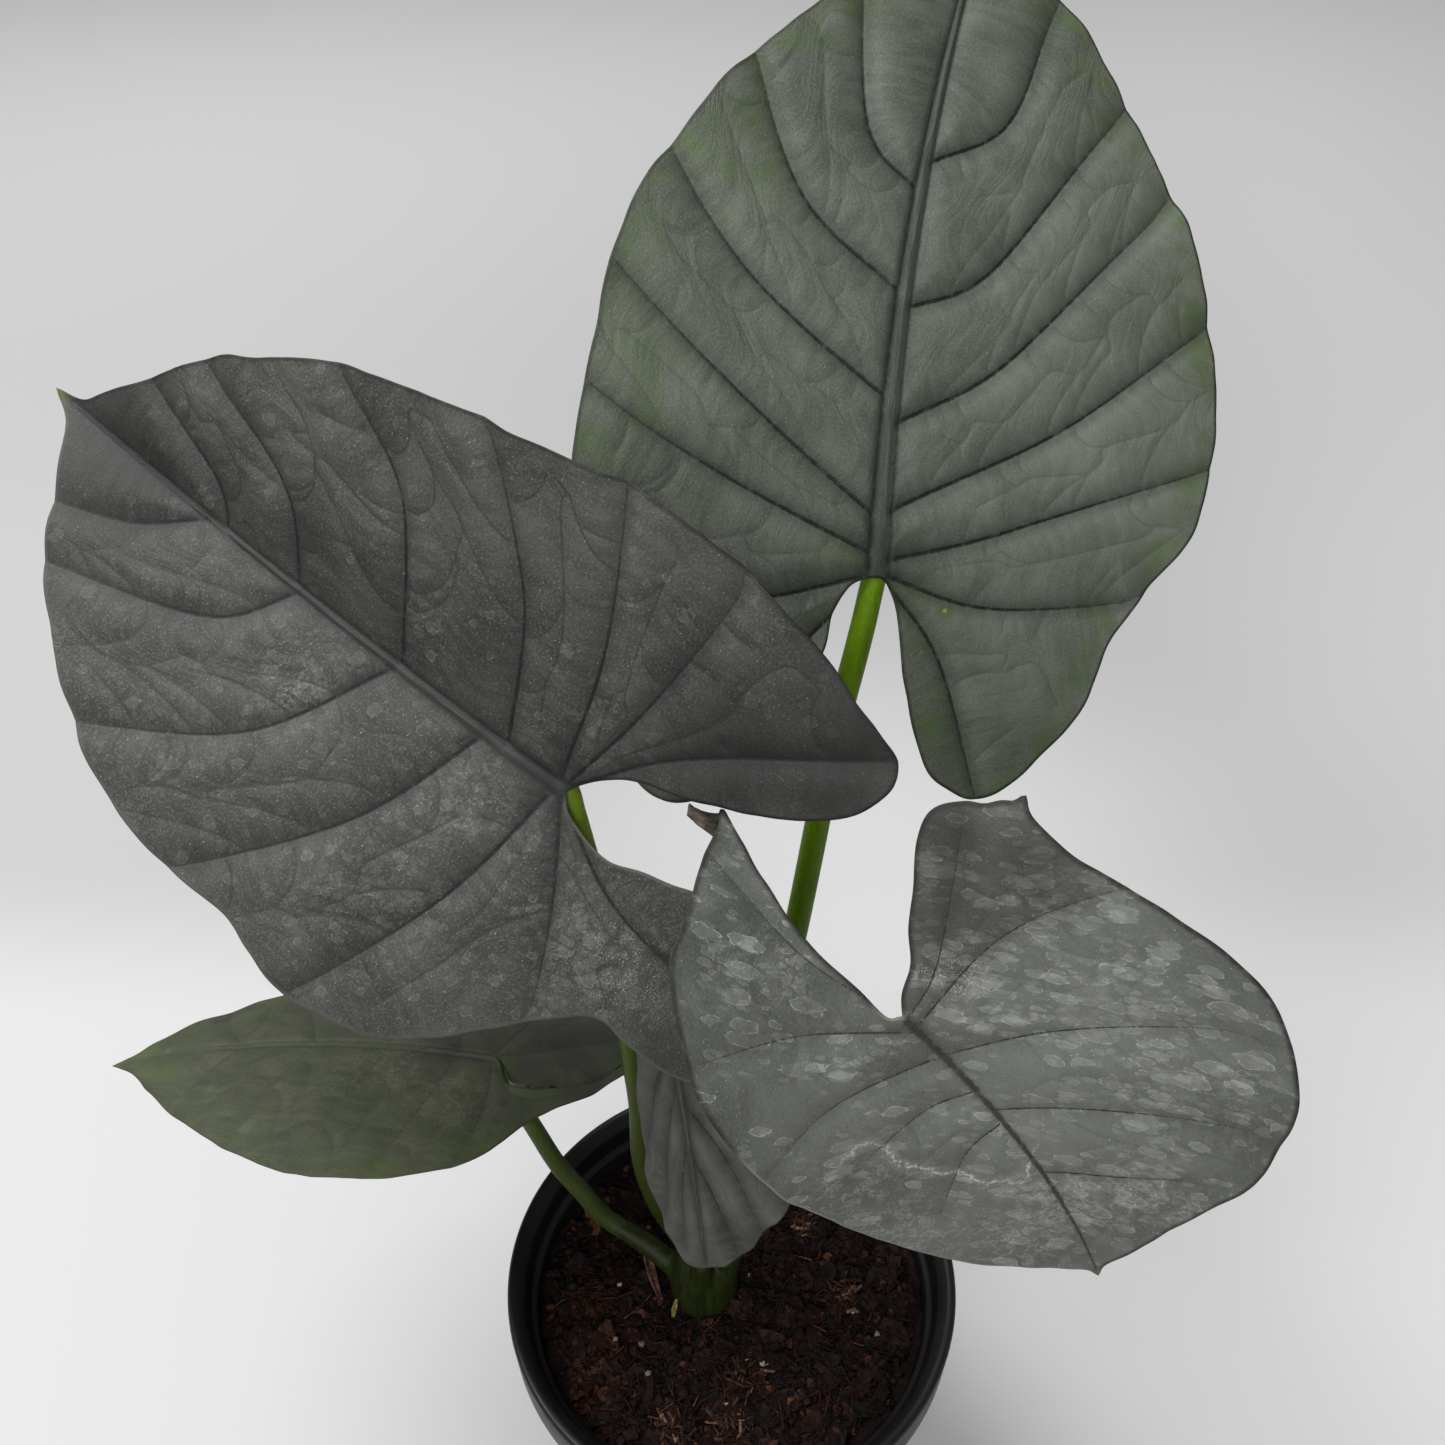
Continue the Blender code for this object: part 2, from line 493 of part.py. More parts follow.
def make_blade(key, group, material):
    leaf = LEAVES[key]
    grain = leaf.get("grain", SPACING)
    right = list(leaf["edge_right"])
    left = [(-u, v) for u, v in leaf["edge_left"]]
    tip = (0.0, leaf["tip"])
    start = (0.0, -1.0)
    edge_a = resample([start] + right + [tip], grain)
    edge_b = resample([tip] + left[::-1] + [start], grain)
    outline = np.vstack([edge_a[:-1], edge_b[:-1]])
    midrib = resample([start, (0, leaf["tip"] * 0.5), tip], grain)[1:-1]
    veins = [resample([(0, s), b, e], grain)[1:] for s, b, e in leaf["veins_right"]]
    veins += [resample([(0, s), (-b[0], b[1]), (-e[0], e[1])], grain)[1:] for s, b, e in leaf["veins_left"]]

    # Vein points that crowd each other near the joint are left out.
    kept = list(midrib)
    for vein in veins:
        for p in vein:
            near_edge = away_from(p[None], [np.vstack([outline, outline[:1]])])[0]
            crowd = min(np.linalg.norm(p - q) for q in kept)
            if near_edge > 0.5 * grain and crowd > 0.7 * grain and inside(p[None], outline)[0]:
                kept.append(p)
    low, high = outline.min(axis=0), outline.max(axis=0)
    row = grain * math.sqrt(3) / 2
    grid = []
    for j in range(int((high[1] - low[1]) / row) + 1):
        for i in range(int((high[0] - low[0]) / grain) + 1):
            grid.append((low[0] + (i + 0.5 * (j % 2)) * grain, low[1] + j * row))
    grid = np.array(grid)
    clear = away_from(grid, [np.vstack([outline, outline[:1]])]) > 0.6 * grain
    grid = grid[clear & inside(grid, outline)]
    fixed = np.array(kept)
    gaps = np.linalg.norm(grid[:, None] - fixed[None], axis=2).min(axis=1)
    grid = grid[gaps > 0.7 * grain]

    points = np.vstack([outline, fixed, grid])
    ring = list(range(len(outline)))
    flat, _, faces, _, _, _ = delaunay_2d_cdt([Vector(p) for p in points], [], [ring], 1, 1e-5)
    flat = np.array([tuple(p) for p in flat])
    lines = [np.vstack([[0.0, -1.0], midrib])] + [np.vstack([[0.0, v[0][1]], v]) for v in veins]
    lift = QUILT * (1 - np.exp(-(away_from(flat, lines) / QUILT_REACH) ** 2))
    places = spread(leaf, flat[:, 0], flat[:, 1], lift) * MM

    bm = bmesh.new()
    verts = [bm.verts.new(p) for p in places]
    for face in faces:
        bm.faces.new([verts[k] for k in face])
    bmesh.ops.recalc_face_normals(bm, faces=bm.faces[:])
    bm.normal_update()
    if sum((f.normal for f in bm.faces), Vector()).dot(Vector(leaf["face"])) < 0:
        bmesh.ops.reverse_faces(bm, faces=bm.faces[:])
    item = add_object("blade_" + key, mesh_from_bmesh("blade_" + key, bm), group, material)
    shell = item.modifiers.new("thickness", "SOLIDIFY")
    shell.thickness = THICKNESS * MM
    shell.offset = -1
    shell.use_even_offset = False
    bpy.context.view_layer.update()
    bake_modifiers(item)
    return item


def main():
    clear_scene()
    group = make_collection("potted_alocasia")
    tools = make_collection("cutters")
    make_pot(group, tools)
    make_soil(group, tools)
    make_crown_and_petioles(group, tools)
    grey = make_material("blade")
    olive = make_material("blade_olive")
    for key in LEAVES:
        make_blade(key, group, olive if key == "low" else grey)
    for item in tools.objects:
        item.hide_render = True
        item.display_type = "WIRE"


main()
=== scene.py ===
# Looks of the potted alocasia: fine leaf blades with sunken veins, fleshy petioles on a sheathed
# crown, a loose bark and coir mix and the black nursery pot. Settings are in mm unless noted.

import math

import bmesh
import bpy
import numpy as np
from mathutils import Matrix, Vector, noise
from mathutils.geometry import delaunay_2d_cdt


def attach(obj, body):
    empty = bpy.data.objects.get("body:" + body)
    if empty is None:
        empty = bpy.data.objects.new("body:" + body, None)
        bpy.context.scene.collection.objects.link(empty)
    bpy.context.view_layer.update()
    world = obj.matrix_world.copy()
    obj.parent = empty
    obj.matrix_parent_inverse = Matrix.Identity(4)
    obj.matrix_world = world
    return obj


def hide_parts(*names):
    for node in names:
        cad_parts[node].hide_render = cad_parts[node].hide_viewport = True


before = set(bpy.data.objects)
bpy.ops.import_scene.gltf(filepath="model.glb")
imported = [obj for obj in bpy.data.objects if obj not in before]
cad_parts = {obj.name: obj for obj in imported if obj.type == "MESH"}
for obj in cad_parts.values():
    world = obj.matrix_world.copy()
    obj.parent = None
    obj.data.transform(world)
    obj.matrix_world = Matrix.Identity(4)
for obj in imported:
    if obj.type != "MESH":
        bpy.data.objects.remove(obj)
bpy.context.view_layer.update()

mm = 0.001

# Camera and studio

shot = dict(place=(-2.2, -181.1, 445.6), pitch=43.3, fieldOfView=50.0)
studio = dict(
    sky=(0.95, 0.95, 0.95), skyStrength=0.30,
    lamps=(dict(name="topSoftbox", place=(-540, 220, 1130), aim=(0, 40, 120), size=950, power=21.0),
           dict(name="frontFill", place=(-200, -1000, 820), aim=(0, 40, 150), size=1000, power=10.0)),
    # Floor tones grey it further back as painted shade; floorGlows and floorSide lighten it as painted light
    floorTones=((135, 0.47), (215, 0.375), (450, 0.395), (1100, 0.62)), floorSize=6000,
    floorGlows=((60, 215, 190, 0.26), (220, 10, 240, 0.25), (85, 0, 90, 0.16)), floorSide=(85, 440, 0.29),
    floorDrop=0.3)


def makeCamera():
    data = bpy.data.cameras.new("camera")
    data.angle = math.radians(shot["fieldOfView"])
    data.clip_start = 0.01
    data.clip_end = 50
    camera = bpy.data.objects.new("camera", data)
    bpy.context.scene.collection.objects.link(camera)
    camera.location = Vector(shot["place"]) * mm
    camera.rotation_euler = (math.radians(90 - shot["pitch"]), 0, 0)
    bpy.context.scene.camera = camera


def makeLamp(lamp):
    data = bpy.data.lights.new(lamp["name"], "AREA")
    data.shape = "DISK"
    data.size = lamp["size"] * mm
    data.energy = lamp["power"]
    item = bpy.data.objects.new(lamp["name"], data)
    bpy.context.scene.collection.objects.link(item)
    item.location = Vector(lamp["place"]) * mm
    item.rotation_euler = (Vector(lamp["aim"]) - Vector(lamp["place"])).to_track_quat("-Z", "Y").to_euler()


# Node helpers: an input takes a plain value or another node's output

def feed(tree, sockets, values):
    for key, value in values.items():
        if isinstance(value, bpy.types.NodeSocket):
            tree.links.new(value, sockets[key])
        else:
            sockets[key].default_value = value


def addNode(tree, kind, inputs=None, **settings):
    made = tree.nodes.new(kind)
    for key, value in settings.items():
        setattr(made, key, value)
    feed(tree, made.inputs, inputs or {})
    return made


def doMath(tree, operation, a, b=0.0, clamp=False):
    return addNode(tree, "ShaderNodeMath", {0: a, 1: b}, operation=operation, use_clamp=clamp).outputs[0]


def times(tree, a, b):
    return doMath(tree, "MULTIPLY", a, b)


def fromMiddle(tree, value):
    return doMath(tree, "SUBTRACT", value, 0.5)


def mixColour(tree, share, a, b):
    return addNode(tree, "ShaderNodeMix", {0: share, 6: a, 7: b}, data_type="RGBA").outputs[2]


def ramp(tree, value, low, high, outLow=0.0, outHigh=1.0, smooth=True):
    made = addNode(tree, "ShaderNodeMapRange", {"Value": value, "From Min": low, "From Max": high,
                                                "To Min": outLow, "To Max": outHigh})
    made.interpolation_type = "SMOOTHSTEP" if smooth else "LINEAR"
    return made.outputs[0]


def readAttribute(tree, name):
    return addNode(tree, "ShaderNodeAttribute", attribute_name=name).outputs["Fac"]


def makeNoise(tree, vector, scale, detail=2.0, roughness=0.5, distortion=0.0):
    return addNode(tree, "ShaderNodeTexNoise", {"Vector": vector, "Scale": scale, "Detail": detail,
                                                "Roughness": roughness, "Distortion": distortion}).outputs[0]


def ownPlace(tree):
    return addNode(tree, "ShaderNodeTexCoord").outputs["Object"]


def stretched(tree, vector, scale):
    return addNode(tree, "ShaderNodeMapping", {"Vector": vector, "Scale": scale}).outputs[0]


def newMaterial(name):
    material = bpy.data.materials.new(name)
    material.use_nodes = True
    tree = material.node_tree
    shader = tree.nodes["Principled BSDF"]
    return material, tree, shader


def newGroup(name, inputs, outputs):
    group = bpy.data.node_groups.new(name, "ShaderNodeTree")
    for label, kind, value in inputs:
        socket = group.interface.new_socket(label, in_out="INPUT", socket_type=kind)
        if value is not None:
            socket.default_value = value
    for label, kind in outputs:
        group.interface.new_socket(label, in_out="OUTPUT", socket_type=kind)
    return group, group.nodes.new("NodeGroupInput").outputs, group.nodes.new("NodeGroupOutput").inputs


def shade(tree, shader, colour, roughness, gloss, height=None, distance=0.0002, strength=1.0):
    feed(tree, shader.inputs, {"Base Color": colour, "Roughness": roughness, "Specular IOR Level": gloss})
    if height is not None:
        bump = addNode(tree, "ShaderNodeBump", {"Height": height, "Strength": strength, "Distance": distance})
        tree.links.new(bump.outputs[0], shader.inputs["Normal"])


# Mesh helpers

def addObject(name, mesh, material=None):
    item = bpy.data.objects.new(name, mesh)
    bpy.context.scene.collection.objects.link(item)
    if material:
        mesh.materials.clear()
        mesh.materials.append(material)
    return item


def meshFrom(name, places, faces):
    mesh = bpy.data.meshes.new(name)
    mesh.from_pydata([tuple(p) for p in places], [], [tuple(f) for f in faces])
    mesh.shade_smooth()
    mesh.update()
    return mesh


def meshOf(bm, name):
    mesh = bpy.data.meshes.new(name)
    bm.to_mesh(mesh)
    bm.free()
    return mesh


def evaluated(item):
    bpy.context.view_layer.update()
    return bpy.data.meshes.new_from_object(item.evaluated_get(bpy.context.evaluated_depsgraph_get()))


def bakeModifiers(item):
    mesh = evaluated(item)
    item.modifiers.clear()
    item.data = mesh


def storeValue(mesh, name, values):
    layer = mesh.attributes.new(name, "FLOAT", "POINT")
    layer.data.foreach_set("value", np.asarray(values, np.float32))


def finishPiece(item, slot, *nodes):
    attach(item, "root")
    if nodes:
        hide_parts(*nodes)


def unit(v):
    v = np.array(v, float)
    return v / np.linalg.norm(v)


def smoothRoute(points, count):
    points = [np.array(p, float) for p in points]
    ends = [2 * points[0] - points[1]] + points + [2 * points[-1] - points[-2]]
    out = []
    for k in range(count + 1):
        place = k / count * (len(points) - 1)
        i = min(int(place), len(points) - 2)
        t = place - i
        a, b, c, d = ends[i:i + 4]
        out.append(0.5 * (2 * b + (c - a) * t + (2 * a - 5 * b + 4 * c - d) * t * t
                          + (3 * b - a - 3 * c + d) * t ** 3))
    return np.array(out)


def spaced(points, spacing):
    fine = smoothRoute(points, 12 * (len(points) - 1))
    length = np.concatenate([[0], np.cumsum(np.linalg.norm(np.diff(fine, axis=0), axis=1))])
    at = np.linspace(0, length[-1], max(2, int(round(length[-1] / spacing))) + 1)
    return np.stack([np.interp(at, length, fine[:, k]) for k in range(fine.shape[1])], axis=1)


# Leaf blades. Outlines, side veins and folds are flat, from the joint: u across, v along the midrib

lobeAt, middleAt, tipAt = -0.35, 0.25, 1.0      # stations where a blade's folds are given

leaves = {
    "left": dict(
        joint=(-32, 18, 241), along=(-0.80, 0.52, 0.29), face=(-0.22, -0.715, 0.664), length=138,
        arch=0.10, back=-0.10, sway=0.05, clear=0.2,
        foldRight=(0.30, 0.42, 0.25), foldLeft=(-0.25, 0.10, 0.20),
        edgeRight=((2, -2), (8, -7), (12, -13), (15, -22), (20, -33), (25, -42), (31, -48), (38, -51),
                    (43, -49), (46, -44), (50, -35), (54, -26), (57, -14), (59, 0), (59, 14), (56, 30),
                    (53, 46), (49, 62), (43, 78), (36, 90), (31, 99), (23, 108), (14, 117), (7, 124),
                    (2, 129)),
        edgeLeft=((3, -4), (5, -11), (5, -16), (3, -22), (1, -30), (-2, -40), (0, -50), (8, -56),
                   (18, -58), (27, -55), (33, -48), (33, -37), (32, -29), (37, -22), (45, -14), (53, -6),
                   (60, 4), (62, 14), (63, 22), (60, 31), (57, 39), (57, 52), (55, 65), (51, 77),
                   (45, 88), (38, 98), (31, 108), (22, 116), (12, 123), (4, 129)),
        tip=137,
        veinsRight=((85, (8, 92), (15, 111)), (66, (16, 75), (25, 97)), (39, (30, 51), (43, 71)),
                     (13, (27, 21), (48, 36)), (1, (29, 4), (57, 13)), (0, (23, -7), (50, -12)),
                     (0, (20, -17), (42, -48))),
        veinsLeft=((90, (10, 102), (16, 116)), (65, (15, 77), (26, 108)), (40, (27, 56), (44, 80)),
                    (18, (27, 29), (53, 49)), (1, (29, 7), (60, 20)), (0, (18, -10), (36, -17)),
                    (0, (12, -20), (18, -50)))),
    "tall": dict(
        joint=(28, 57, 261), along=(0.04, 0.62, 0.78), face=(0.20, -0.77, 0.60), length=140,
        arch=0.35, back=0.0, sway=0.35,
        foldRight=(-0.05, 0.0, 0.05), foldLeft=(0.15, -0.05, 0.05),
        edgeRight=((2, -2), (4, -7), (5, -15), (7, -24), (11, -37), (16, -42), (22, -44), (29, -41),
                    (38, -33), (45, -24), (49, -12), (56, -2), (65, 12), (68, 26), (68, 40), (66, 55),
                    (61, 73), (54, 88), (46, 99), (38, 110), (28, 122), (18, 131), (8, 137), (2, 140)),
        edgeLeft=((2, -1), (6, -3), (9, -9), (11, -16), (16, -28), (24, -38), (32, -42.6), (38.5, -44.6),
                   (44.5, -42.6), (50, -36.5), (55, -26), (58, -12), (60, 4), (60, 20), (58, 36), (57, 50),
                   (53, 65), (48, 74), (42, 86), (34, 97), (26, 108), (16, 121), (7, 133), (2, 140)),
        tip=146,
        veinsRight=((81, (15, 95), (19, 122)), (51, (17, 63), (35, 100)), (28, (22, 44), (45, 78)),
                     (11, (35, 32), (61, 59)), (2, (24, 9), (65, 27)), (0, (22, -6), (50, -4)),
                     (0, (13, -16), (22, -42))),
        veinsLeft=((75, (12, 84), (19, 108)), (54, (22, 68), (36, 90)), (33, (30, 52), (48, 70)),
                    (10, (34, 34), (57, 51)), (3, (36, 18), (58, 29)), (0, (26, -6), (54, -4)),
                    (0, (18, -18), (39, -46)))),
    "right": dict(
        joint=(29, -25, 229), along=(0.72, -0.385, -0.57), face=(-0.10, -0.88, 0.47), length=74,
        arch=0.50, back=1.10, sway=0.50,
        foldRight=(0.75, 0.05, 0.10), foldLeft=(0.15, 0.12, 0.10),
        edgeRight=((2, -3), (2, -10), (2.6, -18), (2.4, -26), (1.8, -34), (0.9, -41), (0.1, -46.5),
                    (0.2, -49.6), (2.2, -48), (4.6, -45), (9, -42), (15, -37), (21, -33), (26, -30),
                    (30, -23), (34, -15), (36, -3), (37, 8), (36, 18),
                    (35, 29), (32, 39), (27, 49), (21, 56), (13, 62), (5.4, 67.2), (1.7, 70.8)),
        edgeLeft=((3, -4), (8, -7), (13, -12), (18, -16), (23, -20), (28, -22.6), (31.6, -22.6), (34.9, -20.3),
                   (36.9, -18.2), (39.4, -16.9), (41.0, -15.6), (43.1, -15.2), (41.6, -13.2), (41.0, -11.2),
                   (41.0, -8), (41.6, -3), (43.4, 4), (46, 10), (49, 19), (50, 28), (48, 36), (44, 45),
                   (36, 53), (27, 58), (16, 62), (7.2, 66.8), (2, 70.6)),
        tip=75,
        veinsRight=((26, (9, 28), (18, 37)), (18, (9, 15), (22, 16)), (9, (20, 1), (33, 1)),
                     (3, (14, -11), (29, -18)), (0, (5, -20), (7, -40))),
        veinsLeft=((40, (10, 46), (22, 52)), (23, (14, 31), (33, 44)), (9, (18, 16), (40, 28)),
                    (2, (22, -1), (43, 4)), (0, (11, -4), (33, -19)))),
    "low": dict(
        joint=(-54, 22, 150), along=(-0.98, 0.157, 0.045), face=(0.07, 0.15, 0.98), length=94,
        arch=0.40, back=0.0, sway=-0.10, clear=0.2,
        foldRight=(-0.30, -0.25, -0.20), foldLeft=(0.15, 0.0, 0.10),
        tuck=(2.2, ((-33, 14.7), (-29.4, 6.1), (-26.3, 1.2), (-22.5, -2.2), (-16.6, -5.2), (-10.5, -7.1),
                    (-5.5, -6.5), (-4, -3.6), (-2, -0.6), (-1, 0))),
        edgeRight=((-0.8, -2.5), (-6.3, -5.3), (-7.0, -10.3), (-5.0, -16.4), (-2.0, -22.3),
                   (1.4, -26.1), (6.3, -29.1), (14.5, -32.0), (20, -33.6), (26, -33), (32, -28),
                   (37, -16), (39, 0), (39, 14), (37, 28), (33, 40), (28, 50), (22, 58), (18, 64),
                   (15, 70), (11, 78), (6, 84), (2, 88)),
        edgeLeft=((1.2, -1.9), (7.2, -4.9), (7.8, -10.5), (5.8, -16.8), (2.8, -22.8), (-0.8, -26.8),
                  (-5.8, -30.0), (-11.5, -33.4), (-10, -35.0), (-3, -31),
                   (2, -27), (7, -23), (12, -18), (17, -13), (24, -9), (30, -4), (34, 4), (37, 12),
                   (38, 20), (38, 30), (35, 42), (31, 52), (26, 61), (19, 71), (12, 79), (5, 86)),
        tip=94,
        veinsRight=((60, (9, 67), (17, 70)), (42, (16, 49), (28, 52)), (24, (20, 30), (36, 34)),
                     (8, (20, 12), (38, 15)), (0, (18, -4), (36, -8)), (0, (10, -14), (20, -30))),
        veinsLeft=((60, (10, 67), (20, 70)), (42, (16, 50), (30, 54)), (24, (20, 31), (36, 36)),
                    (8, (18, 12), (37, 18)), (0, (16, -2), (32, 0)), (0, (10.5, -8), (6.5, -21)))),
    "inner": dict(
        joint=(-12, -3, 193), along=(0.11, -0.30, -0.95), face=(0.15, -0.94, 0.31), length=67,
        arch=0.20, back=-0.60, sway=0.0, clear=0.7,
        foldRight=(-0.90, -1.0, -0.80), foldLeft=(-0.10, 0.15, 0.10),
        edgeRight=((2, -2), (4, -5), (7, -6), (10, -3), (11, 4), (12, 13), (14, 23), (15, 33),
                    (15, 44), (13, 53), (10, 60), (6, 66)),
        edgeLeft=((2, -3), (5, -8), (10, -10), (15, -7), (18, 0), (20, 10), (21, 22), (21, 36),
                   (19, 48), (15, 53), (11, 60), (7, 65)),
        tip=68,
        veinsRight=((26, (3.5, 44), (5, 58)), (10, (6, 30), (9.5, 50)), (2, (7, 14), (13, 34))),
        veinsLeft=((30, (4, 46), (6.5, 60)), (16, (7.5, 34), (12, 52)), (6, (11, 22), (17, 42)),
                    (1, (12, 9), (19, 24)), (0, (6, -4), (12, -9)))),
}
bladeForm = dict(
    spacing=0.85, foldEase=3.0, scallop=0.35, veinReach=0.3, ribRise=0.30, ribGroove=0.40,
    branchEvery=11.0, twigDepth=0.12, quiltReach=3.4, swell=0.5, rimThickness=0.28, thickness=0.55,
    keel=2.0, keelSpread=1.25, rimRows=(0.45, 1.0), ribRows=(0.0, -0.5, 0.5, -1.0, 1.0),
    besideRib=(-0.5, 0.5, -1.3, 1.3), twigRows=(0.0, 0.45, -0.45), rowGap=0.35, twigGap=0.42,
    veinRows=((0.0, 0.30), (0.40, 0.32), (-0.40, 0.32), (1.0, 0.45), (-1.0, 0.45)),
    ribTaper=0.78, gridGap=0.62, grooveWidth=0.46, twigWidth=0.42, channelWidth=0.45, puckerReach=1.9)


def paint(red, green, blue):
    # A linear colour from the usual 0 to 255 screen values
    return tuple(((c / 255 + 0.055) / 1.055) ** 2.4 for c in (red, green, blue)) + (1.0,)
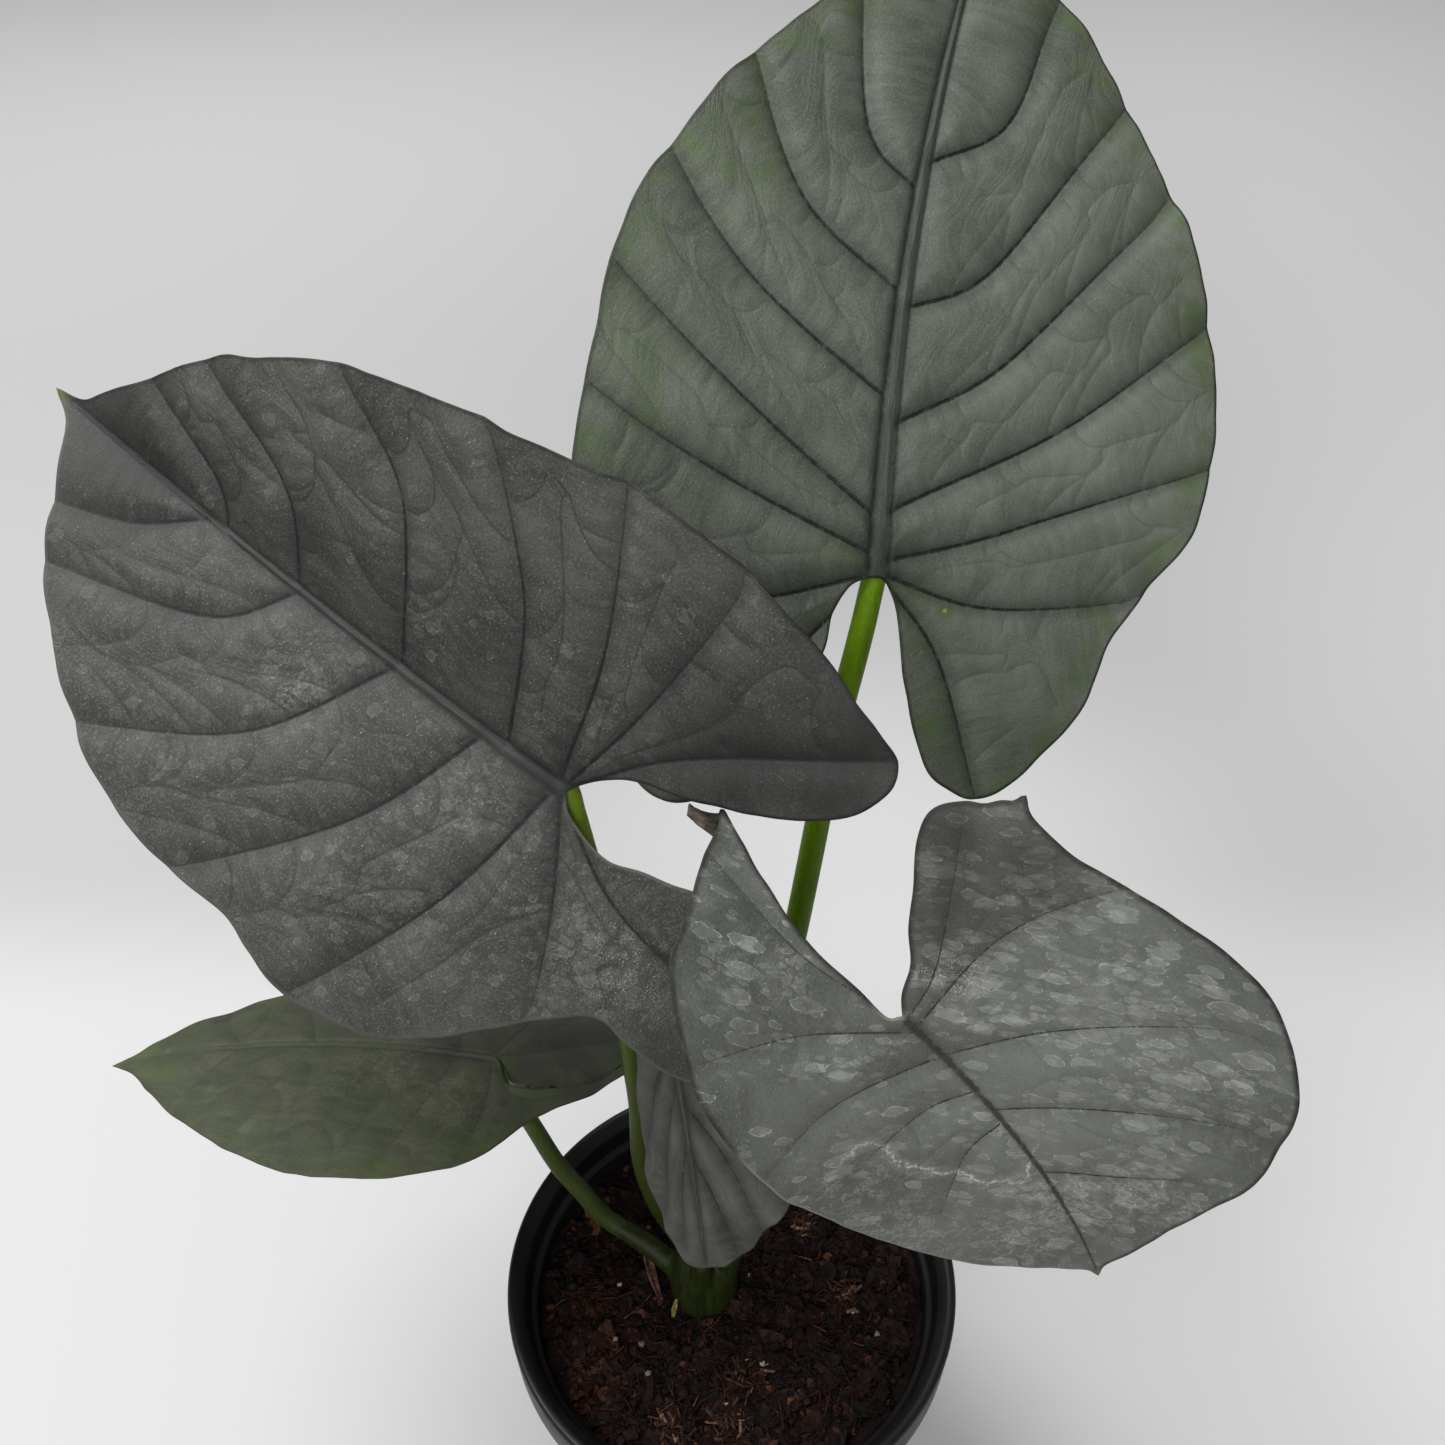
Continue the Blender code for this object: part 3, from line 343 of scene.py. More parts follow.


# What most blades share, then the colours and marks of each. Marks are (u, v, size, strength);
# shades are painted shade and lights painted light, jointShade is painted shade round the joint and
# halo painted shade along the veins; spotKinds lists (cell size, share of the cells, fill, ring);
# vein widths are in mm
plain = dict(
    crust=(), greens=(), shades=(), lights=(), dust=(), fleck=paint(120, 150, 40), specks=0.25,
    roughness=0.55, gloss=0.30)
looks = {
    "left": dict(
        seed=1.3, rib=2.7, quilt=1.1, stray=0.6, veinDepth=0.45, jointShade=0.6, ribSide=0.8, pucker=0.36,
        ripple=0.16, wave=0.8, dripLength=7,
        spots=((-15, 53, 12, 0.40), (-14, 16, 10, 0.55), (-8, 2, 9, 0.5), (-35, 14, 10, 0.5), (-40, 26, 9, 0.5),
               (-40, 70, 12, 0.35), (17, 39, 9, 0.25), (17, -1, 9, 0.2), (-23, -19, 13, 0.6)),
        crust=((-12, 10, 6, 0.3), (-15, 53, 5, 0.5)), dust=((-20, -30, 10, 0.35),),
        shades=((26, -26, 18, 1.0), (36, -42, 16, 1.0), (12, -12, 8, 0.7), (-1, 114, 20, 0.95),
                (46, -42, 16, 1.0), (8, 88, 11, 0.50),
                (9, 66, 11, 0.55), (11, 44, 12, 0.55), (13, 24, 11, 0.45),
                (-30, -42, 9, 0.7), (-17, -34, 7, 0.6), (-8, -30, 7, 0.4)),
        lights=((40, 42, 15, 0.22), (31, 76, 14, 0.18), (48, 12, 13, 0.28), (20, 104, 9, 0.15)),
        dark=paint(32, 33, 30), light=paint(51, 52, 48), pale=paint(98, 100, 94), grain=0.46,
        vein=paint(24, 25, 24), line=paint(5, 6, 5), halo=0.36, twigTone=0.50, veinWidth=0.46,
        ribColour=paint(34, 35, 33), ribCrest=paint(60, 61, 58), ribReach=3.0, ribShade=0.45,
        green=paint(50, 58, 36), greenReach=5.0, greenEdge=0.12,
        spot=paint(118, 120, 115), spotTurn=0.6,
        spotKinds=((3.4, 1.0, 0.26, 0.70), (2.0, 0.9, 0.22, 0.60), (1.2, 0.8, 0.2, 0.45)),
        spotStretch=1.2, spotAmount=0.13, spotStrength=0.75, specks=0.45, crustColour=paint(176, 177, 171),
        under=paint(66, 71, 58), underPale=paint(86, 92, 76), underVein=paint(98, 104, 86), hem=0.85,
        rimLeft=paint(62, 64, 58), rimRight=paint(12, 13, 11), tipColour=paint(58, 70, 30),
        shadeColour=paint(14, 15, 14)),
    "tall": dict(
        seed=4.7, rib=4.0, stray=0.4, quilt=1.05, veinDepth=0.48, jointShade=0.45, ribSide=0.75, pucker=0.13,
        ripple=0.11, wave=0.8, dripLength=6,
        spots=((20, 30, 16, 0.10), (-24, 40, 18, 0.08)),
        lights=((48, 30, 34, 0.55), (42, 72, 28, 0.40), (36, -20, 20, 0.30)),
        greens=((14, -7, 1.6, 1.0), (9, -15, 1.5, 0.95), (-37, 72, 14, 0.5), (-48, 27, 14, 0.5),
                (41, 97, 14, 0.35), (61, 32, 14, 0.30), (0, -1, 1.8, 1.0)),
        dark=paint(55, 60, 52), light=paint(77, 82, 73), pale=paint(112, 116, 108), grain=0.32,
        vein=paint(32, 37, 29), line=paint(10, 12, 8), halo=0.52, twigTone=0.24, veinWidth=0.48,
        ribColour=paint(50, 55, 48), ribCrest=paint(76, 81, 72), ribReach=2.6, ribShade=0.55,
        green=paint(62, 78, 36), greenReach=14.0, greenEdge=0.75, fleck=paint(124, 142, 50),
        spot=paint(108, 114, 103), spotKinds=((5.0, 1.0, 0.4, 0.3),), spotTurn=0.6, spotStretch=1.15,
        spotAmount=0.06, spotStrength=0.30, crustColour=paint(160, 163, 152),
        under=paint(70, 78, 60), underPale=paint(90, 98, 78), underVein=paint(100, 108, 86), hem=0.80,
        rimLeft=paint(24, 31, 14), rimRight=paint(22, 28, 13), tipColour=paint(84, 110, 34),
        shadeColour=paint(26, 30, 24), roughness=0.52),
    "right": dict(
        seed=8.1, rib=1.4, stray=1.6, quilt=0.7, jointShade=0.3, ribSide=0.35, veinDepth=0.30, pucker=0.14,
        ripple=0.12, wave=0.6, dripLength=4,
        spots=((-15, 0, 10, 0.8), (17, -22, 8, 0.5), (11, -4, 7, 0.4), (-21, 13, 8, 0.9), (-34, 19, 9, 0.9),
               (-26, 31, 9, 0.9), (-38, 37, 8, 0.8), (0, 50, 9, 0.9), (-14, 50, 8, 0.9), (2, 24, 6, 0.5),
               (-21, -15, 9, 0.7), (-33, -1, 9, 0.9)),
        crust=((-20, 58, 5, 0.7), (0, 48, 8, 1.0), (-10, 50, 8, 0.9), (28, 19, 9, 0.8), (28, 40, 11, 0.9),
               (12, 54, 9, 0.8), (10, -20, 6, 0.4)),
        crustLine=((24.5, 12), (21, 11.5), (19.2, 13.5), (18.6, 17), (19, 20.5), (17.4, 23.4), (15.8, 26),
                   (14.4, 29), (11.8, 31.4), (9.6, 35.4), (6.6, 36.8), (3.6, 39.4), (0.6, 36.4)),
        dust=((-13, -1, 4, 1.0), (-10, -4, 3, 0.8)),
        lights=((-26, 20, 22, 0.75), (-8, 28, 24, 0.80), (18, 6, 16, 0.55), (10, 42, 18, 0.50)),
        shades=((-21, -11, 12, 0.9), (-12, -13, 8, 0.7), (-29, -18, 10, 1.0), (-35, -7, 10, 0.9),
                (8, -12, 6, 0.25), (18, -20, 11, 0.16),
                (3, -40, 8, 0.25)),
        dark=paint(62, 64, 60), light=paint(80, 82, 77), pale=paint(112, 114, 109), grain=0.34,
        vein=paint(44, 46, 42), line=paint(38, 40, 37), halo=0.20, twigTone=0.16, veinWidth=0.20,
        ribColour=paint(36, 38, 35), ribCrest=paint(52, 54, 50), ribReach=2.6, ribShade=0.20,
        green=paint(76, 86, 58), greenReach=5.0, greenEdge=0.12,
        spot=paint(143, 145, 139), spotTurn=-2.34,
        spotKinds=((3.6, 1.0, 0.48, 0.95), (2.4, 1.0, 0.44, 0.90), (1.4, 0.8, 0.34, 0.70)),
        spotStretch=2.3, spotAmount=0.22, spotStrength=0.86, specks=0.5, crustColour=paint(172, 173, 165),
        under=paint(68, 72, 60), underPale=paint(88, 92, 78), underVein=paint(98, 102, 88), hem=0.45,
        hemLeft=1.15, rimLeft=paint(24, 25, 21), rimRight=paint(108, 110, 102), paleFrom=-2,
        tipColour=paint(78, 90, 52),
        shadeColour=paint(22, 23, 21), roughness=0.58, gloss=0.28),
    "low": dict(
        seed=12.9, rib=1.6, stray=0.9, quilt=0.5, jointShade=0.3, ribSide=0.1, veinDepth=0.16, pucker=0.16,
        ripple=0.16, wave=0.9, dripLength=7,
        spots=((-12, 8, 12, 0.7), (-20, -10, 9, 0.4)),
        crust=((-12, 6, 9, 0.6), (-5, 22, 8, 0.6), (-8, 31, 7, 0.4)),
        shades=((13, -12, 12, 1.1), (18, -26, 13, 1.1), (6, -18, 9, 1.0), (0, -9, 5.5, 1.0), (1, -23, 5, 1.0),
                (8, 4, 5, 0.6), (1.5, 10, 6, 0.9)),
        dark=paint(42, 46, 33), light=paint(54, 58, 42), pale=paint(86, 90, 69), grain=0.24,
        vein=paint(44, 48, 36), line=paint(42, 46, 34), halo=0.10, twigTone=0.06, veinWidth=0.20,
        ribColour=paint(52, 56, 43), ribCrest=paint(66, 70, 56), ribReach=2.4, ribShade=0.12,
        green=paint(62, 74, 34), greenReach=12.0, greenEdge=0.7,
        spot=paint(112, 114, 98), spotKinds=((4.6, 1.0, 0.4, 0.3),), spotTurn=0.4, spotStretch=1.3,
        spotAmount=0.12, spotStrength=0.40, crustColour=paint(122, 122, 106),
        under=paint(66, 74, 52), underPale=paint(84, 92, 68), underVein=paint(94, 102, 76), hem=0.5,
        rimLeft=paint(42, 47, 30), rimRight=paint(42, 47, 30), tipColour=paint(62, 72, 38),
        shadeColour=paint(24, 25, 23)),
    "inner": dict(
        seed=16.4, rib=1.8, stray=0.6, quilt=1.5, jointShade=0.3, ribSide=0.5, veinDepth=0.55, pucker=0.15,
        ripple=0.12, wave=0.5, dripLength=3,
        spots=((0, 20, 14, 0.2),), shades=((8, 34, 6, 0.5), (6, 18, 6, 0.4)),
        lights=((-8, 42, 6, 0.8), (-6, 27, 5, 0.7), (-13, 50, 5, 0.6), (0, 50, 3, 0.5)),
        dark=paint(52, 53, 50), light=paint(74, 75, 70), pale=paint(100, 101, 94), grain=0.18,
        vein=paint(30, 31, 28), line=paint(30, 31, 28), halo=0.60, twigTone=0.25, veinWidth=0.3,
        ribColour=paint(44, 45, 41), ribCrest=paint(74, 76, 68), ribReach=4.0, ribShade=0.5,
        green=paint(58, 64, 42), greenReach=4.0, greenEdge=0.2,
        spot=paint(108, 109, 103), spotKinds=((4.0, 1.0, 0.4, 0.3),), spotTurn=0.3, spotStretch=1.4,
        spotAmount=0.10, spotStrength=0.35, crustColour=paint(146, 146, 138),
        under=paint(62, 66, 50), underPale=paint(78, 82, 64), underVein=paint(88, 92, 72), hem=0.4,
        rimLeft=paint(50, 52, 45), rimRight=paint(50, 52, 45), tipColour=paint(60, 64, 50),
        shadeColour=paint(26, 27, 25)),
}
for key, look in looks.items():
    leaves[key].update({**plain, **look})


def stationValue(s, lobe, middle, tip):
    s = np.clip(s, -0.45, 1.05)
    return (lobe * (s - middleAt) * (s - tipAt) / ((lobeAt - middleAt) * (lobeAt - tipAt))
            + middle * (s - lobeAt) * (s - tipAt) / ((middleAt - lobeAt) * (middleAt - tipAt))
            + tip * (s - lobeAt) * (s - middleAt) / ((tipAt - lobeAt) * (tipAt - middleAt)))


def tuckDrop(leaf, u, v):
    # The right lobe dips below the left one, most beside it
    drop, line = leaf["tuck"]
    beside = u - np.interp(v, [p[0] for p in line], [p[1] for p in line])
    ease = np.clip((-1.0 - v) / 7.0, 0, 1)
    ease = ease * ease * (3 - 2 * ease)
    return np.where((beside > 0) & (v < -1.0), drop * ease * np.exp(-np.maximum(beside, 0) / 16.0), 0.0)


def spread(leaf, u, v, lift):
    # Places in mm of flat blade points, lift mm out of the upper side
    along = unit(leaf["along"])
    face = np.array(leaf["face"], float)
    face = unit(face - along * (face @ along))
    side = np.cross(along, face)
    s = np.linspace(-0.8, 1.2, 401)
    bend = np.where(s > 0, leaf["arch"], leaf["back"]) * s
    sway = np.where(s > 0, leaf["sway"], 0.0) * s
    heading = ((np.cos(bend) * np.cos(sway))[:, None] * along - np.sin(bend)[:, None] * face
               + (np.cos(bend) * np.sin(sway))[:, None] * side)
    step = (heading[1:] + heading[:-1]) / 2 * (s[1] - s[0]) * leaf["length"]
    line = np.vstack([np.zeros(3), np.cumsum(step, axis=0)])
    line -= line[np.argmin(np.abs(s))]
    at = v / leaf["length"]
    place = np.stack([np.interp(at, s, line[:, k]) for k in range(3)], axis=1)
    ahead = np.stack([np.interp(at, s, heading[:, k]) for k in range(3)], axis=1)
    ahead /= np.linalg.norm(ahead, axis=1)[:, None]
    across = np.cross(ahead, face)
    across /= np.linalg.norm(across, axis=1)[:, None]
    up = np.cross(across, ahead)
    fold = np.where(u >= 0, stationValue(at, *leaf["foldRight"]), stationValue(at, *leaf["foldLeft"]))
    turn = np.sign(u) * fold * (1 - np.exp(-np.abs(u) / bladeForm["foldEase"]))
    out = across * np.cos(turn)[:, None] + up * np.sin(turn)[:, None]
    rise = up * np.cos(turn)[:, None] - across * np.sin(turn)[:, None]
    if "tuck" in leaf:
        lift = lift - tuckDrop(leaf, u, v)
    return np.array(leaf["joint"], float) + place + out * u[:, None] + rise * lift[:, None]


def nearLine(points, line, reach=None):
    # Distance of each point from a polyline, and how far along it the nearest place is
    best = np.full(len(points), 99.0)
    along = np.zeros(len(points))
    if reach:
        near = np.all((points > line.min(axis=0) - reach) & (points < line.max(axis=0) + reach), axis=1)
        best[near], along[near] = nearLine(points[near], line)
        return best, along
    run = 0.0
    for a, b in zip(line[:-1], line[1:]):
        ab = b - a
        size = np.linalg.norm(ab)
        t = np.clip((points - a) @ ab / size ** 2, 0, 1)
        d = np.linalg.norm(points - a - t[:, None] * ab, axis=1)
        closer = d < best
        best[closer] = d[closer]
        along[closer] = run + t[closer] * size
        run += size
    return best, along


def sideDistance(points, line):
    # Distance from a polyline, negative on its right side
    best = np.full(len(points), 99.0)
    for a, b in zip(line[:-1], line[1:]):
        ab = b - a
        t = np.clip((points - a) @ ab / (ab @ ab), 0, 1)
        away = points - a - t[:, None] * ab
        d = np.linalg.norm(away, axis=1)
        closer = d < np.abs(best)
        best[closer] = (d * np.sign(ab[0] * away[:, 1] - ab[1] * away[:, 0] + 1e-9))[closer]
    return best


def insideOf(points, outline):
    found = np.zeros(len(points), bool)
    for a, b in zip(outline, np.roll(outline, -1, axis=0)):
        spans = (a[1] > points[:, 1]) != (b[1] > points[:, 1])
        rise = b[1] - a[1] if b[1] != a[1] else 1.0
        found ^= spans & (points[:, 0] < a[0] + (points[:, 1] - a[1]) * (b[0] - a[0]) / rise)
    return found


def offsetLine(line, offset):
    ahead = np.gradient(line, axis=0)
    ahead /= np.linalg.norm(ahead, axis=1)[:, None] + 1e-9
    return line + np.stack([ahead[:, 1], -ahead[:, 0]], axis=1) * offset


class Thinner:
    # Keeps points no closer than a gap to those already kept

    def __init__(self, cell):
        self.cell = cell
        self.bins = {}
        self.kept = []

    def add(self, points, gap):
        for p in points:
            key = (int(p[0] // self.cell), int(p[1] // self.cell))
            near = [q for i in (-1, 0, 1) for j in (-1, 0, 1)
                    for q in self.bins.get((key[0] + i, key[1] + j), ())]
            if all((p[0] - q[0]) ** 2 + (p[1] - q[1]) ** 2 > gap * gap for q in near):
                self.bins.setdefault(key, []).append((p[0], p[1]))
                self.kept.append((p[0], p[1]))


def noiseAt(x, y, z):
    # One noise value for each place; a plain number holds for all of them
    return np.array([noise.noise(Vector(p)) for p in np.broadcast(x, y, z)])


def veinLines(leaf):
    # Main side veins, drawn on towards the margin, and the branches that meet midway between them
    mains, twigs = [], []
    for sign, key in ((1, "veinsRight"), (-1, "veinsLeft")):
        routes = []
        for start, bend, end in leaf[key]:
            reach = np.array(end, float) - np.array(bend, float)
            far = np.array(end) + reach * bladeForm["veinReach"] + np.array((-0.03, 0.10)) * abs(reach[0])
            route = np.array([(0.0, start), bend, end, far], float) * (sign, 1)
            routes.append(spaced(route, 1.2))
        mains += [(sign, r) for r in routes]
        for number, (a, b) in enumerate(zip(routes, routes[1:])):
            t = np.linspace(0, 1, 60)
            one, two = (np.stack([np.interp(t * (len(r) - 1), np.arange(len(r)), r[:, k]) for k in range(2)],
                                 axis=1) for r in (a, b))
            length = np.linalg.norm(np.diff((one + two) / 2, axis=0), axis=1).sum()
            half = np.linalg.norm(one - two, axis=1) / 2

            def between(path):
                # Turns (share of the length, share of the way across) into flat places
                along = np.clip([q[0] for q in path], 0, 1) * (len(t) - 1)
                across = np.array([q[1] for q in path])[:, None]
                pair = [np.stack([np.interp(along, np.arange(len(t)), r[:, k]) for k in range(2)], axis=1)
                        for r in (one, two)]
                return pair[0] * (1 - across) + pair[1] * across

            steps = max(3, int(length / bladeForm["branchEvery"]))
            middle = []
            for k in range(steps * 2):
                side = k % 2
                stray, other = (noise.noise(Vector((k * 1.7 + w, number * 3.1, leaf["seed"] + sign)))
                                for w in (0, 40))
                leave = (k / 2 + 0.4 + 1.3 * stray) / steps
                lean = (0.75 + 1.2 * other) * float(np.interp(leave * 59, np.arange(60), half)) / length
                meet = 0.5 + (0.06 if side else -0.06) + 0.15 * other
                if 0.10 < leave and leave + lean < 0.97 and lean > 0:
                    path = [(leave, side), (leave + 0.12 * lean, side * 0.62 + meet * 0.38),
                            (leave + 0.50 * lean, side * 0.22 + meet * 0.78), (leave + lean, meet)]
                    line = spaced(between(path), 1.2)
                    twigs.append((sign, line if other > -0.12 else line[:len(line) // 2 + 1]))
                    middle.append((leave + lean, meet))
            if len(middle) > 2:
                twigs.append((sign, spaced(between(sorted(middle)), 1.2)))
    return mains, twigs


def makeBlade(leafName):
    leaf = leaves[leafName]
    form = bladeForm
    step = form["spacing"]
    right = list(leaf["edgeRight"])
    left = [(-u, v) for u, v in leaf["edgeLeft"]]
    tip, start = (0.0, leaf["tip"]), (0.0, -1.0)
    edgeA = spaced([start] + right + [tip], step)
    edgeB = spaced([tip] + left[::-1] + [start], step)
    outline = np.vstack([edgeA[:-1], edgeB[:-1]])
    # A real margin isn't ruler smooth: shallow, uneven scallops
    drift = noiseAt(outline[:, 0] / 7, outline[:, 1] / 7, leaf["seed"])
    ends = np.minimum(np.linalg.norm(outline - tip, axis=1), np.linalg.norm(outline - start, axis=1))
    ahead = np.roll(outline, -1, axis=0) - np.roll(outline, 1, axis=0)
    ahead /= np.linalg.norm(ahead, axis=1)[:, None]
    outward = np.stack([ahead[:, 1], -ahead[:, 0]], axis=1)
    turned = np.sum(outline[:, 0] * np.roll(outline[:, 1], -1) - np.roll(outline[:, 0], -1) * outline[:, 1])
    outward *= np.sign(turned)
    outline = outline + outward * (drift * form["scallop"] * np.clip(ends / 12, 0, 1))[:, None]
    closed = np.vstack([outline, outline[:1]])

    mains, twigs = veinLines(leaf)
    ribHalf = leaf["rib"] / 2

    def ribWidth(v):
        return ribHalf * (1 - form["ribTaper"] * np.clip(v / leaf["tip"], 0, 1))

    picked = Thinner(step)
    picked.add(outline, 0.0)
    count = len(outline)
    for inset in form["rimRows"]:
        ring = outline - outward * inset
        ring = ring[insideOf(ring, outline)]
        picked.add(ring[nearLine(ring, closed)[0] > 0.8 * inset], form["rowGap"])
    ribRows = np.arange(-0.6, leaf["tip"] - 1.5, step)
    for side in form["ribRows"]:
        row = np.stack([side * ribWidth(ribRows), ribRows], axis=1)
        picked.add(row[insideOf(row, outline)], form["rowGap"])
    for side in form["besideRib"]:
        row = np.stack([np.sign(side) * ribWidth(ribRows) + side, ribRows], axis=1)
        picked.add(row[insideOf(row, outline)], form["rowGap"])
    for offset, gap in form["veinRows"]:
        for _, line in mains:
            row = offsetLine(spaced(line, step), offset)
            picked.add(row[insideOf(row, outline)], gap)
    for offset in form["twigRows"]:
        for _, line in twigs:
            row = offsetLine(spaced(line, step), offset)
            picked.add(row[insideOf(row, outline)], form["twigGap"])
    low, high = outline.min(axis=0), outline.max(axis=0)
    rows = np.arange(low[1], high[1], step * 0.866)
    grid = np.array([(u + (j % 2) * step / 2, v) for j, v in enumerate(rows)
                     for u in np.arange(low[0], high[0], step)])
    grid = grid[insideOf(grid, outline)]
    picked.add(grid, form["gridGap"] * step)
    points = np.array(picked.kept)
    rim = nearLine(points, closed)[0]
    good = rim > 0.3
    good[:count] = True
    points = points[good]

    flat, _, faces, _, _, _ = delaunay_2d_cdt([Vector(p) for p in points], [], [list(range(count))], 1, 1e-6)
    flat = np.array([tuple(p) for p in flat])
    u, v = flat[:, 0], flat[:, 1]
    edge = nearLine(flat, closed)[0]
    rib = nearLine(flat, np.array([(0.0, -1.0), tip]))[0]
    gap = np.full(len(flat), 99.0)
    taper, weight, run = np.zeros((3, len(flat)))
    for sign, line in mains:
        d, s = nearLine(flat, np.vstack([line[:-1:2], line[-1:]]))
        length = np.linalg.norm(np.diff(line, axis=0), axis=1).sum()
        d = np.where(u * sign < -0.5, d + 30, d)
        closer = d < gap
        gap[closer] = d[closer]
        taper[closer] = s[closer] / length
        w = 1 / (d + 0.8) ** 4
        weight += w
        run += w * s
    run /= weight
    twig = np.full(len(flat), 99.0)
    for _, line in twigs:
        twig = np.minimum(twig, nearLine(flat, line, 4.0)[0])

    # Upper side: quilted between the veins, grooved along them, with a rounded midrib in its channel
    half = ribWidth(v)
    onRib = v > -1
    ridge = np.where(onRib, np.clip(1 - (u / half) ** 2, 0, 1), 0) * form["ribRise"] * half / ribHalf
    channel = form["ribGroove"] * np.exp(-((np.abs(u) - half) / form["channelWidth"]) ** 2)
    channel = channel * np.clip((v + 1) / 3, 0, 1)
    clear = 1 - np.exp(-(np.maximum(np.abs(u) - half, 0) / 1.0) ** 2)
    clear = np.where(onRib, clear, 1.0)
    groove = leaf["veinDepth"] * (1 - 0.55 * taper) * clear
    groove *= np.exp(-(gap / (form["grooveWidth"] - 0.12 * taper)) ** 2)
    faded = clear * (1 - np.exp(-(edge / 4) ** 2)) * (1 - np.exp(-(gap / 1.5) ** 2))
    hair = form["twigDepth"] * np.exp(-(twig / form["twigWidth"]) ** 2) * faded
    quilt = leaf["quilt"] * (1 - np.exp(-(np.minimum(gap, rib) / form["quiltReach"]) ** 2))
    pucker = 1 - np.exp(-(np.minimum(twig, gap) / form["puckerReach"]) ** 2)
    quilt += leaf["pucker"] * pucker * (1 - np.exp(-(edge / 5) ** 2))
    still = (1 - np.exp(-(gap / 2.4) ** 2)) * (1 - np.exp(-(rib / 4.0) ** 2))
    seed = leaf["seed"]
    ladder = (noiseAt(run / 3.4, u / 15 + seed, v / 15) + 0.5 * noiseAt(run / 1.6, u / 8, v / 8 + seed))
    swell = noiseAt(u / 16, v / 16, seed * 2.3)
    hem = noiseAt(u / 11, v / 11, seed + 5)
    body = (quilt + leaf["ripple"] * ladder * still + form["swell"] * swell * np.clip(rib / 12, 0, 1)
            + leaf["wave"] * hem * np.exp(-edge / 6) * np.clip(rib / 6, 0, 1))
    top = body - groove - hair - channel + ridge
    # Underside: the same veins stand out as ridges
    thick = form["rimThickness"] + (form["thickness"] - form["rimThickness"]) * (1 - np.exp(-edge / 0.9))
    keel = np.where(onRib, np.sqrt(np.clip(1 - (u / (half * form["keelSpread"])) ** 2, 0, 1)), 0)
    keel *= form["keel"] * (1 - 0.85 * np.clip(v / leaf["tip"], 0, 1)) * np.clip((v + 1) / 2, 0, 1)
    ridges = 0.9 * leaf["veinDepth"] * (1 - 0.6 * taper) * np.exp(-(gap / 0.8) ** 2) * clear
    under = body - thick - keel - ridges

    directed = {(f[k], f[(k + 1) % len(f)]) for f in faces for k in range(len(f))}
    border = [e for e in directed if (e[1], e[0]) not in directed]
    after = dict(border)
    before = {b: a for a, b in border}
    ringIds = list(after)
    shift = np.array([flat[after[k]] - flat[before[k]] for k in ringIds])
    shift /= np.linalg.norm(shift, axis=1)[:, None] + 1e-9
    mid = flat[ringIds] + np.stack([shift[:, 1], -shift[:, 0]], axis=1) * form["rimThickness"] * 0.45
    midLift = (top[ringIds] + under[ringIds]) / 2
    n = len(flat)
    places = np.vstack([spread(leaf, u, v, top), spread(leaf, u, v, under),
                        spread(leaf, mid[:, 0], mid[:, 1], midLift)]) * mm
    midOf = {k: 2 * n + i for i, k in enumerate(ringIds)}
    shell = [tuple(f) for f in faces] + [tuple(n + k for k in reversed(f)) for f in faces]
    for a, b in border:
        shell.append((b, a, midOf[a], midOf[b]))
        shell.append((midOf[b], midOf[a], n + a, n + b))
    mesh = meshFrom("leaf_" + leafName, places, shell)

    def both(values):
        return np.concatenate([values, values, values[ringIds]])

    drip = np.clip((v - leaf["tip"] + leaf["dripLength"]) / leaf["dripLength"], 0, 1)
    for name, values in (("gap", gap), ("taper", taper), ("twig", twig), ("run", run), ("drip", drip),
                         ("rib", np.where(onRib, np.abs(u) / half, 9.0))):
        storeValue(mesh, name, both(values))
    storeValue(mesh, "edge", np.concatenate([edge, edge, np.zeros(len(ringIds))]))
    storeValue(mesh, "under", np.concatenate([np.zeros(n), np.ones(n), np.full(len(ringIds), 0.3)]))
    # Each kind of mark becomes a point attribute; shaded holds painted shade and paintedLight painted light
    for name, key in (("spotty", "spots"), ("crusty", "crust"), ("greenish", "greens"), ("shaded", "shades"),
                      ("dusty", "dust"), ("paintedLight", "lights")):
        total = np.zeros(n)
        for a, b, size, strength in leaf[key]:
            total = np.maximum(total, strength * np.exp(-((u - a) ** 2 + (v - b) ** 2) / size ** 2))
        storeValue(mesh, name, both(np.minimum(total, 1.0)))
    if "crustLine" in leaf:
        storeValue(mesh, "limed", both(sideDistance(flat, spaced(leaf["crustLine"], 0.6))))
    uv = mesh.uv_layers.new(name="flat")
    loops = np.zeros(len(mesh.loops), np.int32)
    mesh.loops.foreach_get("vertex_index", loops)
    flatAll = np.vstack([flat, flat, flat[ringIds]]) / 100
    uv.data.foreach_set("uv", flatAll[loops].astype(np.float32).ravel())
    item = addObject("leaf_" + leafName, mesh, leafMaterial("leaf_" + leafName, leaf))
    finishPiece(item, "blade_olive" if leafName == "low" else "blade", "blade_" + leafName)
    print("leaf", leafName, "faces", len(shell))


def scaled(tree, vector, factor):
    made = addNode(tree, "ShaderNodeVectorMath", {0: vector, "Scale": factor}, operation="SCALE")
    return made.outputs[0]


